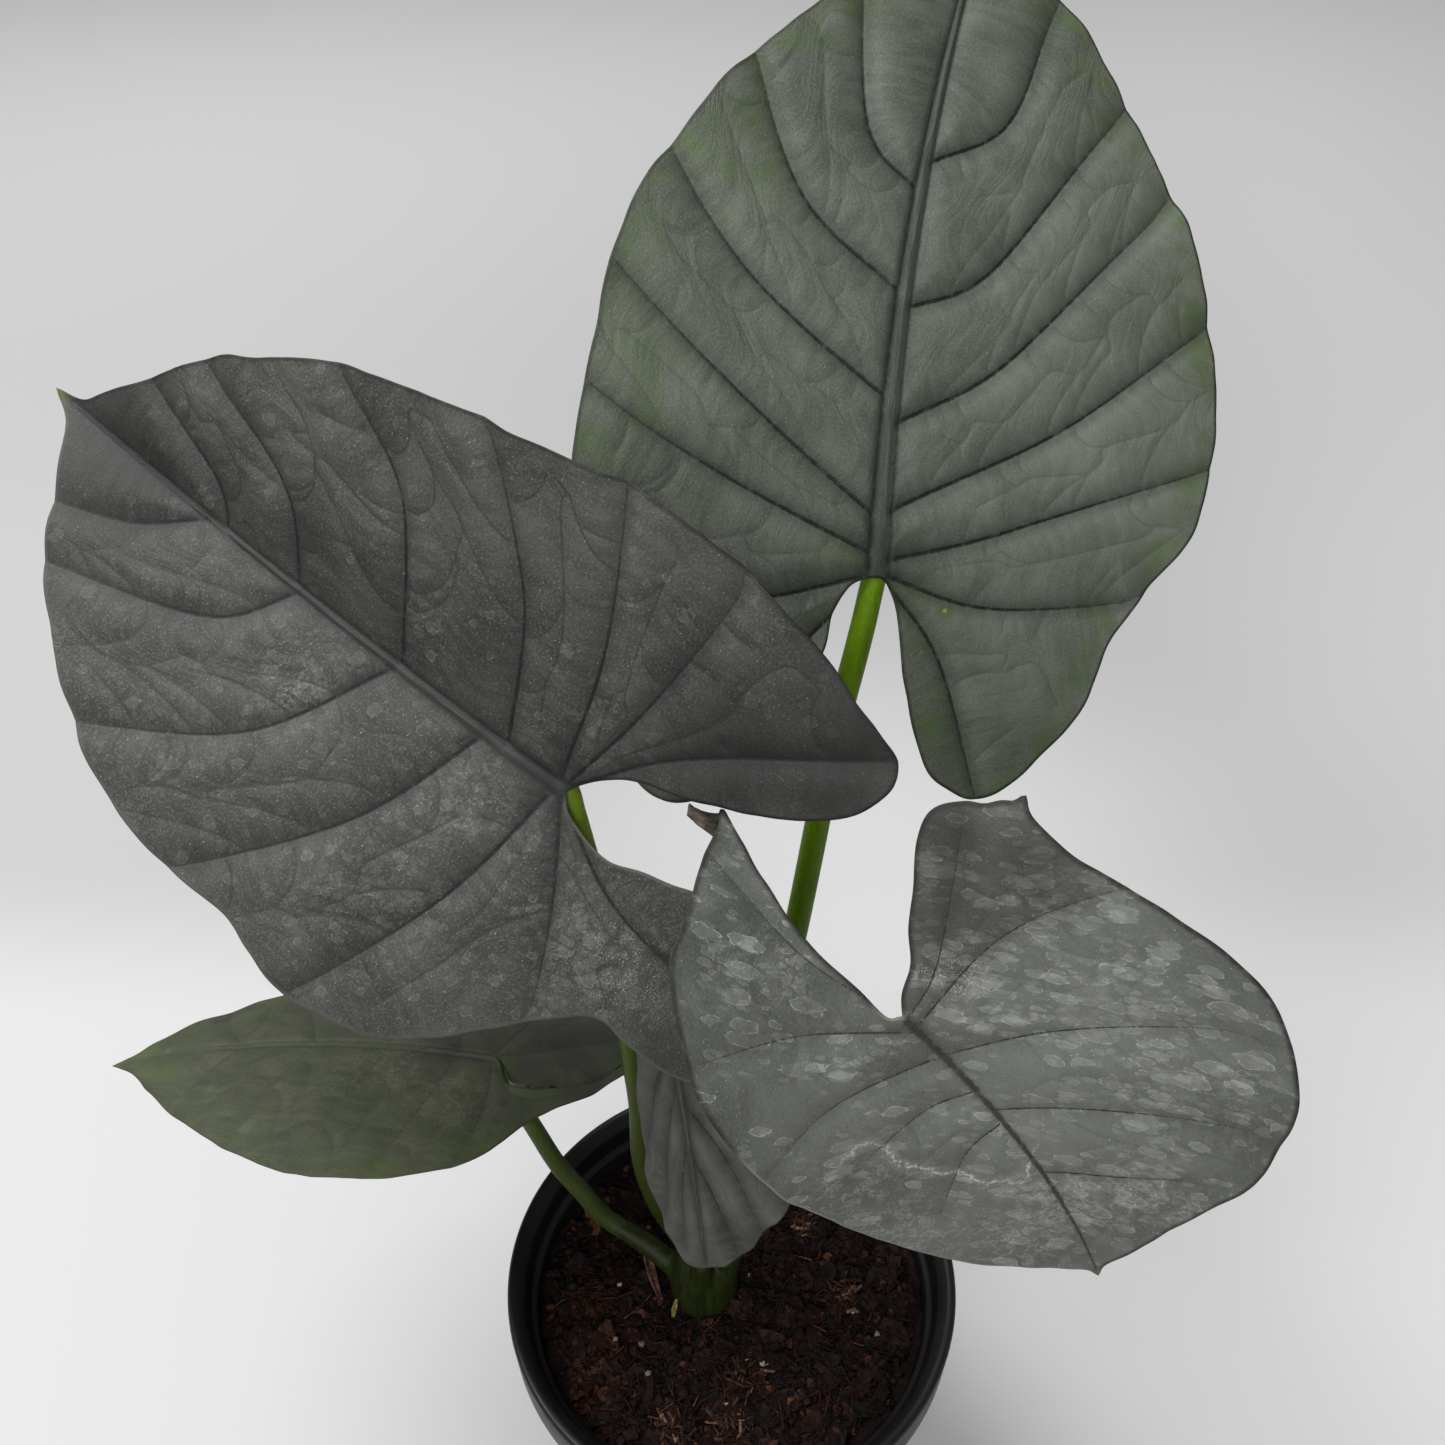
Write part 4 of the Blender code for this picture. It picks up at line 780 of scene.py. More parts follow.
def makeSpotGroup():
    # Dried water marks: round cells with a faint fill and a crisp broken ring. Vector and Size in mm
    group, given, out = newGroup(
        "driedMarks", (("Vector", "NodeSocketVector", None), ("Size", "NodeSocketFloat", 4.0),
                       ("Amount", "NodeSocketFloat", 0.5), ("Seed", "NodeSocketFloat", 0.0)),
        (("Fill", "NodeSocketFloat"), ("Ring", "NodeSocketFloat")))
    shift = addNode(group, "ShaderNodeCombineXYZ", {0: given["Seed"], 1: given["Seed"]})
    small = scaled(group, given["Vector"], doMath(group, "DIVIDE", 1.0, given["Size"]))
    place = addNode(group, "ShaderNodeVectorMath", {0: small, 1: shift.outputs[0]}, operation="ADD").outputs[0]
    stir = addNode(group, "ShaderNodeTexNoise", {"Vector": place, "Scale": 2.0, "Detail": 4.0,
                                                 "Roughness": 0.6}).outputs[1]
    stirred = addNode(group, "ShaderNodeVectorMath", {0: stir, 1: (0.5, 0.5, 0.5)}, operation="SUBTRACT")
    moved = addNode(group, "ShaderNodeVectorMath", {0: place, 1: scaled(group, stirred.outputs[0], 0.55)},
                    operation="ADD")
    cells = addNode(group, "ShaderNodeTexVoronoi", {"Vector": moved.outputs[0], "Scale": 1.0},
                    voronoi_dimensions="2D")
    split = addNode(group, "ShaderNodeSeparateColor", {0: cells.outputs["Color"]})
    floor = doMath(group, "SUBTRACT", 1.0, given["Amount"])
    chosen = ramp(group, doMath(group, "SUBTRACT", split.outputs[0], floor), 0.0, 0.08)
    radius = times(group, chosen, ramp(group, split.outputs[1], 0, 1, 0.16, 0.44, smooth=False))
    away = doMath(group, "SUBTRACT", cells.outputs["Distance"], radius)
    patchy = ramp(group, makeNoise(group, place, 4.0, 4.0, 0.65), 0.32, 0.62, 0.45, 1.0)
    fill = times(group, ramp(group, away, -0.035, 0.005, 1.0, 0.0), chosen)
    fill = times(group, fill, ramp(group, split.outputs[2], 0.0, 1.0, 0.35, 1.0, smooth=False))
    broken = ramp(group, makeNoise(group, place, 3.1, 2.0), 0.36, 0.60)
    ring = times(group, ramp(group, doMath(group, "ABSOLUTE", away), 0.004, 0.030, 1.0, 0.0), chosen)
    group.links.new(times(group, fill, patchy), out["Fill"])
    group.links.new(times(group, ring, broken), out["Ring"])
    return group


def leafMaterial(name, look):
    material, tree, shader = newMaterial(name)
    flat = scaled(tree, addNode(tree, "ShaderNodeUVMap", uv_map="flat").outputs[0], 100.0)
    (gap, taper, twig, edge, rib, run, under, spotty, crusty, greenish, shaded, dusty, drip) = (
        readAttribute(tree, k) for k in ("gap", "taper", "twig", "edge", "rib", "run", "under", "spotty",
                                         "crusty", "greenish", "shaded", "dusty", "drip"))

    def lay(colour, mask, key):
        return mixColour(tree, mask, colour, look[key])

    def flatNoise(*kind):
        return makeNoise(tree, flat, *kind)

    # Veins wander a little instead of being ruled
    stray = fromMiddle(tree, flatNoise(1.1, 3.0, 0.6))
    gap = doMath(tree, "ABSOLUTE", doMath(tree, "ADD", gap, times(tree, stray, 0.45)))
    rib = doMath(tree, "ABSOLUTE", doMath(tree, "ADD", rib, times(tree, stray, look["stray"])))
    mottle = flatNoise(0.055, 4.0, 0.6)
    grain = flatNoise(2.0, 4.0, 0.75)
    # Fine tissue runs across from vein to vein
    split = addNode(tree, "ShaderNodeSeparateXYZ", {0: flat})
    weave = addNode(tree, "ShaderNodeCombineXYZ", {0: times(tree, run, 0.55),
                                                   1: times(tree, split.outputs[0], 0.11),
                                                   2: times(tree, split.outputs[1], 0.11)})
    ladder = makeNoise(tree, weave.outputs[0], 1.0, 3.0, 0.55)

    colour = mixColour(tree, ramp(tree, mottle, 0.32, 0.68), look["dark"], look["light"])
    colour = lay(colour, ramp(tree, ladder, 0.40, 0.64, 0.0, 0.12), "pale")
    colour = lay(colour, ramp(tree, grain, 0.50, 0.66, 0.0, look["grain"]), "pale")
    colour = lay(colour, ramp(tree, grain, 0.32, 0.48, look["grain"] * 0.9, 0.0), "vein")
    # Painted light: paler where the light marks lie
    colour = lay(colour, times(tree, readAttribute(tree, "paintedLight"), 0.6), "pale")

    # Green shows through near the margin and in patches
    cloudy = ramp(tree, flatNoise(0.09, 5.0, 0.62), 0.40, 0.66)
    rind = times(tree, ramp(tree, edge, 0.8, look["greenReach"], look["greenEdge"], 0.0), cloudy)
    tint = times(tree, ramp(tree, greenish, 0.02, 0.6, 0.0, 0.75), cloudy)
    colour = lay(colour, doMath(tree, "MAXIMUM", rind, tint), "green")
    fleck = times(tree, ramp(tree, greenish, 0.72, 0.95), ramp(tree, flatNoise(0.9, 3.0), 0.44, 0.54))
    colour = lay(colour, fleck, "fleck")

    # Dried drops, a dusty film and specks lie on the upper side only
    upper = doMath(tree, "SUBTRACT", 1.0, under, clamp=True)
    amount = doMath(tree, "ADD", spotty, look["spotAmount"], clamp=True)
    turned = addNode(tree, "ShaderNodeMapping", {"Vector": flat, "Rotation": (0, 0, look["spotTurn"])})
    drawn = addNode(tree, "ShaderNodeVectorMath",
                    {0: turned.outputs[0], 1: (1 / look["spotStretch"], 1.0, 1.0)},
                    operation="MULTIPLY").outputs[0]
    wash = None
    for number, (size, share, fillTone, ringTone) in enumerate(look["spotKinds"]):
        marks = addNode(tree, "ShaderNodeGroup", node_tree=spotGroup)
        feed(tree, marks.inputs, {"Vector": drawn, "Size": size, "Seed": number * 3.7,
                                  "Amount": times(tree, amount, share)})
        tone = doMath(tree, "ADD", times(tree, marks.outputs["Fill"], fillTone),
                      times(tree, marks.outputs["Ring"], ringTone), clamp=True)
        wash = tone if wash is None else doMath(tree, "ADD", wash, tone, clamp=True)
    film = times(tree, ramp(tree, flatNoise(0.30, 6.0, 0.72), 0.46, 0.68), amount)
    wash = doMath(tree, "ADD", wash, times(tree, film, 0.30), clamp=True)
    wash = times(tree, wash, times(tree, upper, look["spotStrength"]))
    colour = lay(colour, wash, "spot")
    powder = times(tree, ramp(tree, flatNoise(2.9, 2.0), 0.52, 0.60), dusty)
    powder = times(tree, powder, ramp(tree, flatNoise(0.45, 3.0), 0.44, 0.56))
    specks = times(tree, ramp(tree, flatNoise(2.2, 1.0), 0.72, 0.76), look["specks"])
    specks = times(tree, doMath(tree, "MAXIMUM", powder, specks), upper)
    colour = lay(colour, specks, "crustColour")

    # Lime crust left where water dried: a thin wandering line with frayed sides
    bent = flatNoise(0.20, 6.0, 0.62)
    off = doMath(tree, "ABSOLUTE", fromMiddle(tree, bent))
    line = ramp(tree, off, 0.003, 0.010, 1.0, 0.0)
    haze = ramp(tree, off, 0.0, 0.05, 0.32, 0.0)
    fray = ramp(tree, flatNoise(1.4, 4.0, 0.7), 0.36, 0.58)
    crust = times(tree, doMath(tree, "MAXIMUM", line, haze), fray)
    crust = times(tree, crust, times(tree, crusty, upper))
    if "crustLine" in look:
        limed = readAttribute(tree, "limed")
        wander = times(tree, fromMiddle(tree, flatNoise(0.5, 5.0, 0.66)), 3.8)
        track = doMath(tree, "ABSOLUTE", doMath(tree, "ADD", limed, wander))
        close = ramp(tree, doMath(tree, "ABSOLUTE", limed), 1.6, 3.2, 1.0, 0.0)
        frayed = ramp(tree, flatNoise(1.1, 4.0, 0.7), 0.39, 0.54, 0.12, 1.0)
        track = doMath(tree, "MAXIMUM", ramp(tree, track, 0.16, 0.50, 0.78, 0.0),
                       ramp(tree, track, 0.2, 2.2, 0.20, 0.0))
        frayed = times(tree, frayed, close)
        crust = doMath(tree, "MAXIMUM", crust, times(tree, times(tree, track, frayed), upper))
    colour = lay(colour, crust, "crustColour")

    # Veins: a soft valley of painted shade along each, a thin dark line, and the midrib's dark channel with a
    # paler crest
    uneven = flatNoise(0.45, 3.0, 0.6)

    def broken(mask, low, high, least):
        return times(tree, mask, ramp(tree, uneven, low, high, least, 1.0))

    # Painted shade in the soft valley along each vein
    valleyShading = broken(ramp(tree, gap, 0.0, 3.2, look["halo"], 0.0), 0.30, 0.60, 0.55)
    colour = lay(colour, valleyShading, "vein")
    colour = lay(colour, ramp(tree, twig, 0.08, 0.42, look["twigTone"], 0.0), "vein")
    width = ramp(tree, taper, 0.0, 0.9, look["veinWidth"], look["veinWidth"] * 0.45, smooth=False)
    fading = ramp(tree, taper, 0.35, 1.1, 1.0, 0.38)
    core = times(tree, ramp(tree, doMath(tree, "DIVIDE", gap, width), 0.65, 1.15, 1.0, 0.0), fading)
    core = times(tree, core, ramp(tree, rib, 0.95, 1.15))
    core = broken(core, 0.34, 0.52, 0.60)
    colour = lay(colour, core, "line")
    colour = lay(colour, ramp(tree, rib, 0.9, look["ribReach"], look["ribShade"], 0.0), "line")
    spine = broken(ramp(tree, rib, 0.60, 1.1, 0.95, 0.0), 0.30, 0.50, 0.6)
    colour = lay(colour, spine, "ribColour")
    streak = stretched(tree, flat, (1.6, 0.07, 1.0))
    crest = times(tree, ramp(tree, rib, 0.05, 0.60, 0.9, 0.0),
                  ramp(tree, makeNoise(tree, streak, 1.0, 3.0), 0.38, 0.62))
    crest = times(tree, crest, ramp(tree, split.outputs[1], 2.0, 18.0, 0.15, 1.0))
    colour = lay(colour, crest, "ribCrest")
    side = ramp(tree, doMath(tree, "ABSOLUTE", doMath(tree, "SUBTRACT", rib, 1.05)), 0.0, 0.40,
                look["ribSide"], 0.0)
    side = broken(side, 0.30, 0.55, 0.45)
    colour = lay(colour, side, "line")
    # Painted shade: darker round the joint where the veins meet, and under the shade marks
    fromJoint = addNode(tree, "ShaderNodeVectorMath", {0: flat}, operation="LENGTH").outputs["Value"]
    paintedJointShade = ramp(tree, fromJoint, 0.0, 15.0, look["jointShade"], 0.0)
    colour = lay(colour, doMath(tree, "MAXIMUM", paintedJointShade, times(tree, shaded, 0.75)), "shadeColour")

    # Underside: paler, with lighter ridged veins
    below = mixColour(tree, ramp(tree, mottle, 0.35, 0.65), look["under"], look["underPale"])
    below = lay(below, ramp(tree, gap, 0.3, 1.2, 0.75, 0.0), "underVein")
    below = lay(below, ramp(tree, twig, 0.1, 0.5, 0.35, 0.0), "underVein")
    below = lay(below, ramp(tree, rib, 0.9, 1.3, 0.85, 0.0), "underVein")
    colour = mixColour(tree, ramp(tree, under, 0.35, 0.9), colour, below)
    rimSide = ramp(tree, split.outputs[0], -2.0, 2.0)
    if "paleFrom" in look:
        rimSide = times(tree, rimSide, ramp(tree, split.outputs[1], look["paleFrom"] - 6, look["paleFrom"]))
    rimColour = mixColour(tree, rimSide, look["rimLeft"], look["rimRight"])
    hem = ramp(tree, rimSide, 0.0, 1.0, look.get("hemLeft", look["hem"]), look["hem"])
    rimTone = broken(ramp(tree, edge, 0.1, hem, 0.9, 0.0), 0.30, 0.55, 0.65)
    colour = mixColour(tree, rimTone, colour, rimColour)
    colour = lay(colour, ramp(tree, drip, 0.1, 0.9), "tipColour")

    rough = ramp(tree, wash, 0.0, 0.4, look["roughness"], look["roughness"] + 0.14)
    height = doMath(tree, "ADD", times(tree, grain, 0.6), times(tree, ladder, 0.6))
    height = doMath(tree, "ADD", height, times(tree, crust, 0.5))
    shade(tree, shader, colour, rough, look["gloss"], height, 0.00030, 0.9)
    return material


def stemMaterial(name, foot, middle, top):
    material, tree, shader = newMaterial(name)
    along = readAttribute(tree, "along")
    place = ownPlace(tree)
    drawn = stretched(tree, place, (900, 900, 70))
    streak = makeNoise(tree, drawn, 1.0, 3.0, 0.6)
    fleck = makeNoise(tree, place, 1500.0, 2.0)
    colour = mixColour(tree, ramp(tree, along, 0.0, 0.35), foot, middle)
    colour = mixColour(tree, ramp(tree, along, 0.35, 1.0), colour, top)
    colour = mixColour(tree, ramp(tree, streak, 0.35, 0.70, 0.0, 0.30), colour, foot)
    colour = mixColour(tree, ramp(tree, fleck, 0.62, 0.75, 0.0, 0.35), colour, foot)
    shade(tree, shader, colour, ramp(tree, streak, 0.3, 0.7, 0.42, 0.54), 0.12, streak, 0.00012, 0.5)
    return material


# Petioles and the crown that they sheathe

petioles = {
    "left": dict(route=((-8.2, 6.9, 89), (-10.8, 6.8, 95), (-17.4, 9.2, 109.5), (-20.6, 11.1, 127),
                        (-20.6, 11.1, 152), (-24.0, 13.1, 195), (-28.3, 15.8, 226), (-32, 18, 241)),
                 foot=2.3, swell=2.9, top=2.3, sink=1.3),
    "tall": dict(route=((-2.8, 6.2, 87), (-1.6, 8.8, 97), (2.0, 16.3, 122), (8.4, 26.8, 152),
                        (14.2, 36.0, 181), (20.4, 45.4, 227), (25.0, 52.6, 249), (28, 57, 261)),
                 foot=2.3, swell=3.0, top=2.4),
    "right": dict(route=((-1.8, 0.6, 87), (-0.6, 0.6, 98), (3.4, -0.6, 122), (9.6, -2.4, 146),
                         (17.5, -6.2, 172), (24.5, -12.8, 196), (28.6, -20.4, 213),
                         (30.4, -25.8, 227.9)),
                  foot=2.2, swell=2.7, top=2.0, sink=1.1),
    "low": dict(route=((-12.2, 2.6, 87.4), (-18.8, 6.8, 91.0), (-24.5, 9.7, 93.0), (-31.6, 12.7, 97.0),
                       (-36.6, 14.9, 104.8), (-41.8, 17.0, 113.0), (-47.2, 19.2, 128), (-54, 22, 150)),
                foot=2.3, swell=2.5, top=2.0, sink=1.2),
    "inner": dict(route=((-7.0, -2.4, 87), (-7.2, -2.2, 98), (-7.4, -1.0, 118), (-7.6, 1.6, 142),
                         (-7.4, 3.6, 166), (-7.0, 3.8, 182), (-8.8, 1.0, 190.5), (-12, -3, 193)),
                  foot=2.2, swell=2.3, top=1.6),
}
stalks = dict(
    sides=40, spacing=0.9, stretches=16, swellAt=0.15,
    tail=(3.0, 7.0, 12.0, 18.0), tailSizes=(0.95, 0.80, 0.55, 0.25),
    # Greens of each petiole from foot to top: brighter on the tall one as painted light, darker on the others
    # as painted shade
    colours={"left": (paint(30, 36, 10), paint(52, 62, 20), paint(100, 122, 26)),
             "tall": (paint(50, 66, 2), paint(78, 106, 2), paint(88, 120, 4)),
             "right": (paint(40, 48, 8), paint(62, 78, 10), paint(76, 94, 20)),
             "low": (paint(34, 40, 16), paint(54, 64, 30), paint(70, 84, 36)),
             "inner": (paint(40, 48, 16), paint(62, 74, 24), paint(74, 88, 36))})
crown = dict(
    centre=(-6.8, 2.8), sides=28, hoopSides=20, voxel=0.45, softenShare=0.6, softenSteps=28,
    keepClear=8.5,
    profile=((0.3, 98), (3.4, 97.4), (6.2, 95), (8, 91), (8.5, 85), (8.2, 79), (7, 71), (5, 65), (0.3, 63)),
    reach=dict(left=112, tall=110, right=112, low=99, inner=112), wrap=0.55,
    dark=paint(22, 27, 6), green=paint(38, 47, 10), earthy=paint(30, 23, 17))


def petioleLine(key):
    # The centre line in mm with its radii; it runs on under the blade, into the midrib's keel
    spec, leaf = petioles[key], leaves[key]
    route = [np.array(p, float) for p in spec["route"]]
    face = unit(leaf["face"])
    lean = unit(route[-1] - route[-2])
    slant = math.sqrt(max(0.0, 1 - float(lean @ face) ** 2))
    sunk = spec.get("sink", 0.0)
    route[-1] = route[-1] - face * (bladeForm["thickness"] + spec["top"] * slant * 0.85 + sunk)
    count, swellAt = stalks["stretches"], stalks["swellAt"]
    points = list(smoothRoute(route, count))
    radii = []
    for k in range(count + 1):
        t = k / count
        if t < swellAt:
            radii.append(spec["foot"] + (spec["swell"] - spec["foot"]) * t / swellAt)
        else:
            radii.append(spec["swell"] + (spec["top"] - spec["swell"]) * (t - swellAt) / (1 - swellAt))
    tail = np.array(stalks["tail"])
    sink = np.array(stalks["tailSizes"]) * spec["top"]
    under = spread(leaf, np.zeros(len(tail)), tail, -(bladeForm["thickness"] + sink * 0.75 + sunk))
    points += list(under)
    radii += list(sink)
    return np.array(points), np.array(radii)


def newTree(name, **inputs):
    # A geometry tree that takes a surface or curve, the named inputs and a finish
    tree = bpy.data.node_groups.new(name, "GeometryNodeTree")
    for label, kind in {"Geometry": "Geometry", **inputs, "Finish": "Material"}.items():
        tree.interface.new_socket(label, in_out="INPUT", socket_type="NodeSocket" + kind)
    tree.interface.new_socket("Geometry", in_out="OUTPUT", socket_type="NodeSocketGeometry")
    return tree, tree.nodes.new("NodeGroupInput").outputs


def endTree(tree, geometry, finish):
    whole = addNode(tree, "GeometryNodeRealizeInstances", {"Geometry": geometry})
    done = addNode(tree, "GeometryNodeSetMaterial", {"Geometry": whole.outputs[0], "Material": finish})
    tree.links.new(done.outputs[0], tree.nodes.new("NodeGroupOutput").inputs[0])
    return tree


def stalkTree():
    # A curve with a radius at each point becomes a round stalk that knows how far along it is
    tree, given = newTree("stalk", Sides="Int", Spacing="Float")
    even = addNode(tree, "GeometryNodeResampleCurve", {"Curve": given["Geometry"], "Length": given["Spacing"]},
                   mode="LENGTH")
    along = addNode(tree, "GeometryNodeSplineParameter").outputs["Factor"]
    kept = addNode(tree, "GeometryNodeStoreNamedAttribute", {"Geometry": even.outputs[0], "Name": "along",
                                                             "Value": along}, data_type="FLOAT", domain="POINT")
    ring = addNode(tree, "GeometryNodeCurvePrimitiveCircle", {"Resolution": given["Sides"], "Radius": 1.0})
    radius = addNode(tree, "GeometryNodeInputRadius").outputs[0]
    skin = addNode(tree, "GeometryNodeCurveToMesh", {"Curve": kept.outputs[0], "Profile Curve": ring.outputs[0],
                                                     "Scale": radius, "Fill Caps": True})
    smooth = addNode(tree, "GeometryNodeSetShadeSmooth", {"Geometry": skin.outputs[0]})
    return endTree(tree, smooth.outputs[0], given["Finish"])


def setInputs(modifier, values):
    for socket in modifier.node_group.interface.items_tree:
        if socket.item_type == "SOCKET" and socket.in_out == "INPUT" and socket.name in values:
            modifier[socket.identifier] = values[socket.name]


def treeMesh(item, tree, values):
    # Runs a node tree on an object and returns the plain mesh that it makes
    modifier = item.modifiers.new("tree", "NODES")
    modifier.node_group = tree
    setInputs(modifier, values)
    mesh = evaluated(item)
    bpy.data.objects.remove(item, do_unlink=True)
    return mesh


def curveObject(points, radii):
    curve = bpy.data.curves.new("route", "CURVE")
    curve.dimensions = "3D"
    spline = curve.splines.new("POLY")
    spline.points.add(len(points) - 1)
    for place, point, radius in zip(spline.points, points, radii):
        place.co = (*(np.array(point) * mm), 1)
        place.radius = radius * mm
    item = bpy.data.objects.new("route", curve)
    bpy.context.scene.collection.objects.link(item)
    return item


def fineLine(points, radii):
    # The same line with six times the points, on a smooth curve
    both = np.hstack([points, radii[:, None]])
    line = smoothRoute(both, 6 * (len(points) - 1))
    return line[:, :3], line[:, 3]


def makePetioles():
    tree = stalkTree()
    for key in petioles:
        points, radii = fineLine(*petioleLine(key))
        mesh = treeMesh(curveObject(points, radii), tree,
                        {"Sides": stalks["sides"], "Spacing": stalks["spacing"] * mm,
                         "Finish": stemMaterial("petiole_" + key, *stalks["colours"][key])})
        mesh.name = "stalk_" + key
        finishPiece(addObject("stalk_" + key, mesh), "stem", "petiole_" + key)
    print("petioles", len(petioles))


def makeCrown():
    # The stub and the lowest stretch of each petiole, grown together by a voxel remesh
    bm = bmesh.new()
    x, y = crown["centre"]
    sides, hoopSides = crown["sides"], crown["hoopSides"]
    rows = [[bm.verts.new(((x + r * math.cos(a)) * mm, (y + r * math.sin(a)) * mm, z * mm))
             for a in (math.tau * k / sides for k in range(sides))] for r, z in crown["profile"]]
    for a, b in zip(rows, rows[1:]):
        for k in range(sides):
            bm.faces.new((a[k], b[k], b[(k + 1) % sides], a[(k + 1) % sides]))
    bm.faces.new(rows[0])
    bm.faces.new(list(reversed(rows[-1])))
    for key in petioles:
        points, radii = fineLine(*petioleLine(key))
        low = points[:, 2] < crown["reach"][key]
        last = int(np.argmin(low)) if not low.all() else len(points)
        pts, rad = points[:last], radii[:last] + crown["wrap"] * np.linspace(1, 0.0, last)
        ahead = np.gradient(pts, axis=0)
        ahead /= np.linalg.norm(ahead, axis=1)[:, None]
        hoops = []
        for p, d, r in zip(pts, ahead, rad):
            across = unit(np.cross(d, (0.3, 1.0, 0.1)))
            other = np.cross(d, across)
            hoops.append([bm.verts.new((p + r * (across * math.cos(t) + other * math.sin(t))) * mm)
                          for t in (math.tau * k / hoopSides for k in range(hoopSides))])
        for a, b in zip(hoops, hoops[1:]):
            for k in range(hoopSides):
                n = (k + 1) % hoopSides
                bm.faces.new((a[k], a[n], b[n], b[k]))
        bm.faces.new(list(reversed(hoops[0])))
        bm.faces.new(hoops[-1])
    bmesh.ops.recalc_face_normals(bm, faces=bm.faces[:])
    item = addObject("crown_sheaths", meshOf(bm, "crown_sheaths"))
    remesh = item.modifiers.new("grow", "REMESH")
    remesh.mode = "VOXEL"
    remesh.voxel_size = crown["voxel"] * mm
    soften = item.modifiers.new("soften", "SMOOTH")
    soften.factor = crown["softenShare"]
    soften.iterations = crown["softenSteps"]
    bakeModifiers(item)
    item.data.materials.clear()
    item.data.materials.append(crownMaterial())
    item.data.shade_smooth()
    finishPiece(item, "stem", "crown")
    print("crown faces", len(item.data.polygons))


def crownMaterial():
    material, tree, shader = newMaterial("crownSkin")
    place = ownPlace(tree)
    height = addNode(tree, "ShaderNodeSeparateXYZ", {0: place}).outputs[2]
    drawn = stretched(tree, place, (800, 800, 60))
    streak = makeNoise(tree, drawn, 1.0, 4.0, 0.6)
    colour = mixColour(tree, ramp(tree, streak, 0.22, 0.82), crown["dark"], crown["green"])
    stain = ramp(tree, doMath(tree, "ADD", height, times(tree, streak, 0.004)), 0.080, 0.086, 1.0, 0.0)
    colour = mixColour(tree, times(tree, stain, 0.7), colour, crown["earthy"])
    shade(tree, shader, colour, ramp(tree, streak, 0.3, 0.7, 0.50, 0.60), 0.2, streak, 0.00006, 0.2)
    return material


# Dried scraps: the withered end of the right blade's lobe, a sheath's strip and a chip at the foot

scraps = {
    "withered_lobe": dict(
        start=((0.9, -49.0), (4.6, -45.0)), end=((5.8, -52.0), (7.0, -50.4)), hump=1.7, lift=0.1,
        folds=9.0, dark=paint(24, 20, 17), mid=paint(54, 46, 40), pale=paint(96, 84, 76)),
    "dried_sheath": dict(
        route=((-20.6, 12.5, 92), (-21.0, 8.8, 86.8), (-19.6, 3.8, 83.2), (-17.4, -1.6, 81.6)),
        widths=(1.2, 2.8, 2.4, 1.0), folds=3.0, dark=paint(34, 18, 14), mid=paint(84, 52, 44),
        pale=paint(124, 86, 72)),
    "straw_chip": dict(
        route=((-13.4, -2.6, 84.6), (-14.0, -4.4, 83.2), (-14.3, -6.0, 82.0)),
        widths=(0.6, 1.5, 0.7), folds=1.0, dark=paint(70, 62, 26), mid=paint(126, 118, 62),
        pale=paint(160, 150, 90)),
}
scrapForm = dict(rows=22, across=12, ridge=0.16, curl=2.4, thickness=0.25)


def makeScrap(kind, settings):
    # A thin dry sheet, curled across and ridged along, a grid of rows with a little thickness
    rows, across = scrapForm["rows"], scrapForm["across"]
    places = []
    for j in range(rows + 1):
        t = j / rows
        for k in range(across + 1):
            s = k / across
            ridge = scrapForm["ridge"] * math.sin(settings["folds"] * (s * math.pi + 0.5 * t)) * (0.4 + 0.6 * t)
            if "route" in settings:
                line = smoothRoute(settings["route"], rows)
                ahead = unit(line[min(j + 1, rows)] - line[max(j - 1, 0)])
                side = unit(np.cross(ahead, (0.5, -0.6, 0.62)))
                up = np.cross(side, ahead)
                wide = float(np.interp(t, np.linspace(0, 1, len(settings["widths"])), settings["widths"]))
                curl = (s - 0.5) * scrapForm["curl"]
                places.append(line[j] + side * wide * 0.5 * math.sin(curl)
                              + up * (wide * 0.35 * (1 - math.cos(curl)) + ridge))
            else:
                a, b = (np.array(p, float) for p in settings["start"])
                c, d = (np.array(p, float) for p in settings["end"])
                jag = 0.5 * noise.noise(Vector((s * 5, t * 2, 3))) * t
                flat = (a * (1 - s) + b * s) * (1 - t) + (c * (1 - s) + d * s) * t + jag
                rise = settings["lift"] + settings["hump"] * math.sin(math.pi * s) * (0.3 + 0.7 * t) + ridge
                places.append(spread(leaves["right"], flat[:1], flat[1:], np.array([rise]))[0])
    faces = [(j * (across + 1) + k, j * (across + 1) + k + 1, (j + 1) * (across + 1) + k + 1,
              (j + 1) * (across + 1) + k) for j in range(rows) for k in range(across)]
    item = addObject(kind, meshFrom(kind, np.array(places) * mm, faces))
    solid = item.modifiers.new("thick", "SOLIDIFY")
    solid.thickness = scrapForm["thickness"] * mm
    solid.offset = 0
    bakeModifiers(item)
    item.data.materials.append(scrapMaterial(kind, settings))
    item.data.shade_smooth()
    finishPiece(item, "stem")
    print(kind, "faces", len(item.data.polygons))


def scrapMaterial(name, settings):
    material, tree, shader = newMaterial(name)
    place = ownPlace(tree)
    grain = makeNoise(tree, place, 900.0, 4.0, 0.7, 0.8)
    blotch = makeNoise(tree, place, 260.0, 3.0)
    colour = mixColour(tree, ramp(tree, grain, 0.35, 0.62), settings["dark"], settings["mid"])
    colour = mixColour(tree, ramp(tree, blotch, 0.50, 0.70, 0.0, 0.8), colour, settings["pale"])
    shade(tree, shader, colour, 0.7, 0.2, grain, 0.0003, 0.8)
    return material


def rustyDrift(tree, place):
    # Where the mix is redder and more fibrous, in drifts a couple of cm across
    return ramp(tree, makeNoise(tree, place, 48.0, 3.0, 0.6), 0.50, 0.66)


# Soil: a fine lumpy body with bark chips, coir fibres and a few perlite grains scattered on it

